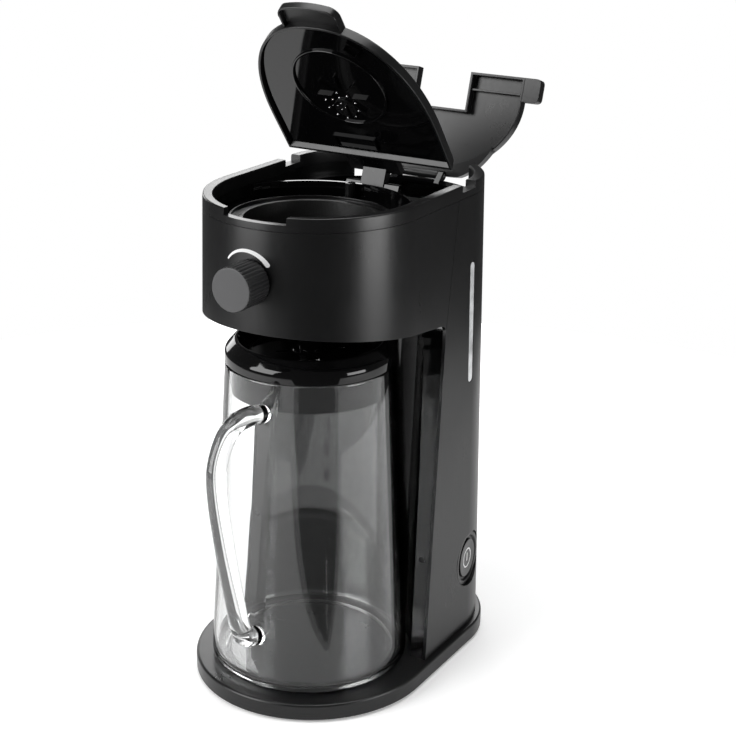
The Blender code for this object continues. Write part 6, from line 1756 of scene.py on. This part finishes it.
@dataclass
class PowerButton:
    """The power button in its bezel, low on the right side, with a generic mark."""

    y: float = 0.09
    z: float = 0.069
    recess: float = 0.0021
    tilt: float = 6.5
    bezel_radius: float = 0.0215
    bezel_depth: float = 0.003
    bezel_face: float = 0.0034
    bezel_slope: float = 0.0042
    bezel_dish: float = 0.0018
    bezel_edges: tuple[float, ...] = (0, 0, 0.0004, 0.0003, 0.001, 0.0005, 0.0003, 0.0003)
    collar: float = 0.0019
    collar_depth: float = 0.016
    gap: float = 0.0003
    radius: float = 0.015
    depth: float = 0.005
    crown_inset: float = 0.002
    dish: float = 0.0006
    edges: tuple[float, ...] = (0, 0.0003, 0.0006, 0.0015, 0)
    steps: int = 128
    mark_radii: Pair = (0.0068, 0.0079)
    mark_depths: Pair = (0.0007, 0.00018)
    bar_low: Point = (-0.0042, -0.0006, -0.0008)
    bar_high: Point = (0.0026, 0.0006, -0.0002)
    bar_edge: float = 0.0005

    def axis(self, shape: BodyShape) -> Matrix:
        """The button's frame, its Z pointing out of the right side.

        Args:
            shape: The body's plan form.

        Returns:
            The frame's matrix.
        """
        x = shape.side_x(self.y, self.z) - self.recess
        turn = Matrix.Rotation(math.radians(self.tilt), 4, "Z") @ Z_TO_X
        return Matrix.Translation((x, self.y, self.z)) @ turn

    def build(self, forge: Forge, shape: BodyShape) -> None:
        """Builds the bezel, the button and its mark, a ring with a bar.

        Args:
            forge: The piece maker.
            shape: The body's plan form.
        """
        axis, outer = self.axis(shape), self.bezel_radius
        bore, collar = self.radius + self.gap, self.radius + self.collar
        path = [
            (bore, -self.collar_depth), (collar, -self.collar_depth), (collar, -self.bezel_depth),
            (outer, -self.bezel_depth), (outer, 0), (outer - self.bezel_face, 0),
            (outer - self.bezel_slope, -self.bezel_dish), (bore, -self.bezel_dish),
        ]
        bezel = Form.lathe(fillet(path, self.bezel_edges, 4, True), self.steps, True)
        forge.piece("power_bezel_moulded", bezel.turned(axis), "satin_black_shell", Rider.HOUSING, ("power_bezel",))
        path = [
            (0, -self.depth), (self.radius, -self.depth), (self.radius, 0),
            (self.radius - self.crown_inset, 0), (0, -self.dish),
        ]
        button = Form.lathe(fillet(path, self.edges, 6), self.steps)
        forge.piece(
            "power_button_polished", button.turned(axis), "gloss_black_panel", Rider.BUTTON, ("power_button",)
        )
        (inner, outer), (low, high) = self.mark_radii, self.mark_depths
        path = np.array([(inner, -low), (outer, -low), (outer, -high), (inner, -high)])
        forge.piece("power_mark_ring", Form.lathe(path, 96, True).turned(axis), "white_print", Rider.BUTTON)
        bar = Form.block(self.bar_low, self.bar_high, self.bar_edge)
        forge.piece("power_mark_bar", bar.turned(axis), "white_print", Rider.BUTTON)


@dataclass(frozen=True)
class Lamp:
    """One soft rectangular lamp."""

    name: str
    place: Point
    aim: Point
    size: Pair
    power: float

    def build(self) -> None:
        """Adds the lamp to the scene, turned towards its aim."""
        data = bpy.data.lights.new(self.name, "AREA")
        data.shape = "RECTANGLE"
        data.size, data.size_y = self.size
        data.energy = self.power
        lamp = bpy.data.objects.new(self.name, data)
        bpy.context.scene.collection.objects.link(lamp)
        away = Vector(self.aim) - Vector(self.place)
        turn = away.to_track_quat("-Z", "Y").to_matrix().to_4x4()
        lamp.matrix_world = Matrix.Translation(self.place) @ turn


LAMPS = (
    Lamp("top_light", (0.0, 0.05, 1.25), (0, 0.02, 0.25), (1.0, 0.9), 11),
    Lamp("back_light", (-1.0, 1.9, 1.2), (0, 0.02, 0.25), (1.6, 1.0), 18),
    Lamp("front_panel", (-0.62, -0.98, 0.66), (0, 0.05, 0.36), (0.78, 1.15), 17),
    Lamp("right_panel", (1.06, 0.02, 0.32), (0, 0, 0.28), (0.5, 0.55), 5.2),
    Lamp("shoulder_panel", (-1.25, 0.66, 0.42), (0, 0, 0.26), (0.5, 0.4), 2.0),
)


@dataclass
class Studio:
    """The camera, the pale table top, the world and the lamps."""

    place: Point = (0.5851, -0.9331, 0.6312)
    forward: Point = (-0.4733, 0.8136, -0.3377)
    roll: float = 0.922
    lens: float = 79.96
    sensor: float = 36
    table: float = 0.82
    table_steps: int = 120
    notch: Pair = (8.0, 68.0)
    notch_corner: Pair = (0.13, -0.15)
    table_white: float = 0.93
    glow_radii: Pair = (0.25, 0.6)
    glow_at_object: float = 0.25
    mirrored_white: float = 0.3
    room_grey: float = 0.08

    def build_camera(self, shift: float) -> None:
        """Puts the camera at the photograph's viewpoint.

        Args:
            shift: How far the plan frame lies from the row frame along Y.
        """
        data = bpy.data.cameras.new("camera")
        data.lens = self.lens
        data.sensor_width = self.sensor
        camera = bpy.data.objects.new("camera", data)
        bpy.context.scene.collection.objects.link(camera)
        ahead = Vector(self.forward).normalized()
        right = ahead.cross(Vector((0, 0, 1))).normalized()
        up = right.cross(ahead)
        turn = math.radians(self.roll)
        across = right * math.cos(turn) + up * math.sin(turn)
        above = up * math.cos(turn) - right * math.sin(turn)
        pose = Matrix((across, above, -ahead)).transposed().to_4x4()
        x, y, z = self.place
        camera.matrix_world = Matrix.Translation((x, y + shift, z)) @ pose
        bpy.context.scene.camera = camera

    def seen_white(self, graph: Graph) -> bpy.types.NodeSocket:
        """The share of the white background that a ray meets.

        It is 1 for the camera's rays and for rays straight through glass, and less once a ray was mirrored.

        Args:
            graph: The tree of the table's or the world's nodes.

        Returns:
            The share's socket.
        """
        rays = graph.add("LightPath").outputs
        mirrored = graph.add(
            "MapRange", Value=rays["Glossy Depth"], To_Min=1.0, To_Max=self.mirrored_white
        )
        glass = graph.math("MULTIPLY", rays["Is Transmission Ray"], mirrored.outputs["Result"])
        return graph.math("MAXIMUM", rays["Is Camera Ray"], glass)

    def build_table(self) -> None:
        """Makes the pale round table top that keeps the soft shadow.

        It ends within arm's reach, as a studio table does, and has an open sector on the camera's side, so
        that the head mirrors the dark room there. A rim point is (R sin a, -R cos a).
        """
        turn = np.radians(np.linspace(self.notch[1], self.notch[0] + 360, self.table_steps))
        rim = np.stack([self.table * np.sin(turn), -self.table * np.cos(turn), np.zeros_like(turn)], -1)
        points = np.vstack([(*self.notch_corner, 0), rim])
        mesh = bpy.data.meshes.new("floor")
        mesh.from_pydata(points.tolist(), [], [(0, n, n + 1) for n in range(1, self.table_steps)])
        floor = bpy.data.objects.new("floor", mesh)
        bpy.context.scene.collection.objects.link(floor)
        mesh.materials.append(self.table_material())

    def table_material(self) -> bpy.types.Material:
        """The table's pale surface, which looks white away from the object and keeps its shadow close by.

        Returns:
            The material.
        """
        material = bpy.data.materials.new("pale_floor")
        material.use_nodes = True
        graph = Graph(material.node_tree)
        shader = material.node_tree.nodes["Principled BSDF"]
        shader.inputs["Base Color"].default_value = (self.table_white,) * 3 + (1,)
        shader.inputs["Roughness"].default_value = 0.9
        shader.inputs["Specular IOR Level"].default_value = 0.0
        shader.inputs["Emission Color"].default_value = (1, 1, 1, 1)
        away = graph.add("VectorMath", {"operation": "LENGTH"})
        graph.link(graph.add("TexCoord").outputs["Object"], away.inputs[0])
        near, far = self.glow_radii
        glow = graph.add(
            "MapRange", Value=away.outputs["Value"], From_Min=near, From_Max=far, To_Min=self.glow_at_object,
            To_Max=1.0,
        )
        shown = graph.math("MULTIPLY", self.seen_white(graph), glow.outputs["Result"])
        graph.link(shown, shader.inputs["Emission Strength"])
        return material

    def build_world(self) -> None:
        """Sets a white world for the camera and glass, and a plain grey one for everything else."""
        world = bpy.data.worlds.new("studio")
        bpy.context.scene.world = world
        world.use_nodes = True
        world.node_tree.nodes.clear()
        graph = Graph(world.node_tree)
        plain = graph.add("Background", Color=(1, 1, 1, 1), Strength=self.room_grey)
        white = graph.add("Background", Color=(1, 1, 1, 1), Strength=1.0)
        mix = graph.add("MixShader", Fac=self.seen_white(graph))
        graph.link(plain.outputs[0], mix.inputs[1])
        graph.link(white.outputs[0], mix.inputs[2])
        graph.link(mix.outputs[0], graph.add("OutputWorld").inputs["Surface"])

    def build(self, shift: float) -> None:
        """Builds the whole studio.

        Args:
            shift: How far the plan frame lies from the row frame along Y.
        """
        self.build_camera(shift)
        self.build_table()
        self.build_world()
        for lamp in LAMPS:
            lamp.build()


NODE_LOOKS = {
    "satin_black": "satin_black_shell", "gloss_black": "gloss_black_panel", "dial_grey": "dial_side_black",
    "rubber_black": "rubber", "steel": "bright_steel", "cast_aluminium": "cast_alloy",
    "clear_glass": "jug_glass_clear", "clear_plastic": "tank_plastic", "white_nylon": "white_nylon_parts",
    "filter_mesh": "filter_gauze", "silicone_hose": "silicone", "lead_insulation": "lead_cover",
}


class IcedTeaMaker:
    """The whole appliance, built sub-assembly by sub-assembly."""

    def __init__(self, frame: dict) -> None:
        """Measures where the plan frame lies and loads the finishes.
        """
        low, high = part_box("brew_basket")
        self.shape = BodyShape()
        self.shift = (low.y + high.y) / 2 - self.shape.brew_y
        self.forge = Forge(frame["nodes"], self.shift)
        self.forge.load_finishes()
        self.record = frame["record"]

    def dress_nodes(self) -> None:
        """Gives every CAD node the finish of its material slot; the panel's screws are black."""
        for part in self.record["subparts"]:
            look = NODE_LOOKS[part["material_slot"]]
            self.forge.dress(part["node"], "satin_black_shell" if part["node"].startswith("column_screw") else look)

    def build(self) -> None:
        """Builds every sub-assembly."""
        forge, shape = self.forge, self.shape
        brew_axis = (0, shape.brew_y, 0)
        dial, power, jug, shells = Dial(), PowerButton(), Jug(), Shells()
        self.dress_nodes()
        Base().build(forge, shape)
        shells.build_head(forge, shape, dial.y(shape), dial.z)
        shells.build_housing(forge, shape, power.axis(shape), power.bezel_radius + shape.gap)
        shells.build_column(forge, shape)
        shells.build_window(forge, shape)
        TopRing().build(forge, shape)
        FrontLid().build(forge)
        TankLid().build(forge)
        jug.build(forge, brew_axis)
        JugLid().build(forge, jug, brew_axis)
        Basket().build(forge, brew_axis)
        dial.build(forge, shape)
        power.build(forge, shape)


def corners(bounds: tuple[Vector, Vector]) -> list[list[float]]:
    """A box's two corners as plain lists."""
    return [[round(value, 6) for value in corner] for corner in bounds]


def main() -> None:
    """Builds the scene round the frame."""
    logging.basicConfig(level=logging.INFO, format="%(name)s: %(message)s")
    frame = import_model()
    maker = IcedTeaMaker(frame)
    maker.build()
    Studio().build(maker.shift)
    bpy.context.scene.view_settings.view_transform = "Standard"
    bpy.context.view_layer.update()


if __name__ == "__main__":
    main()
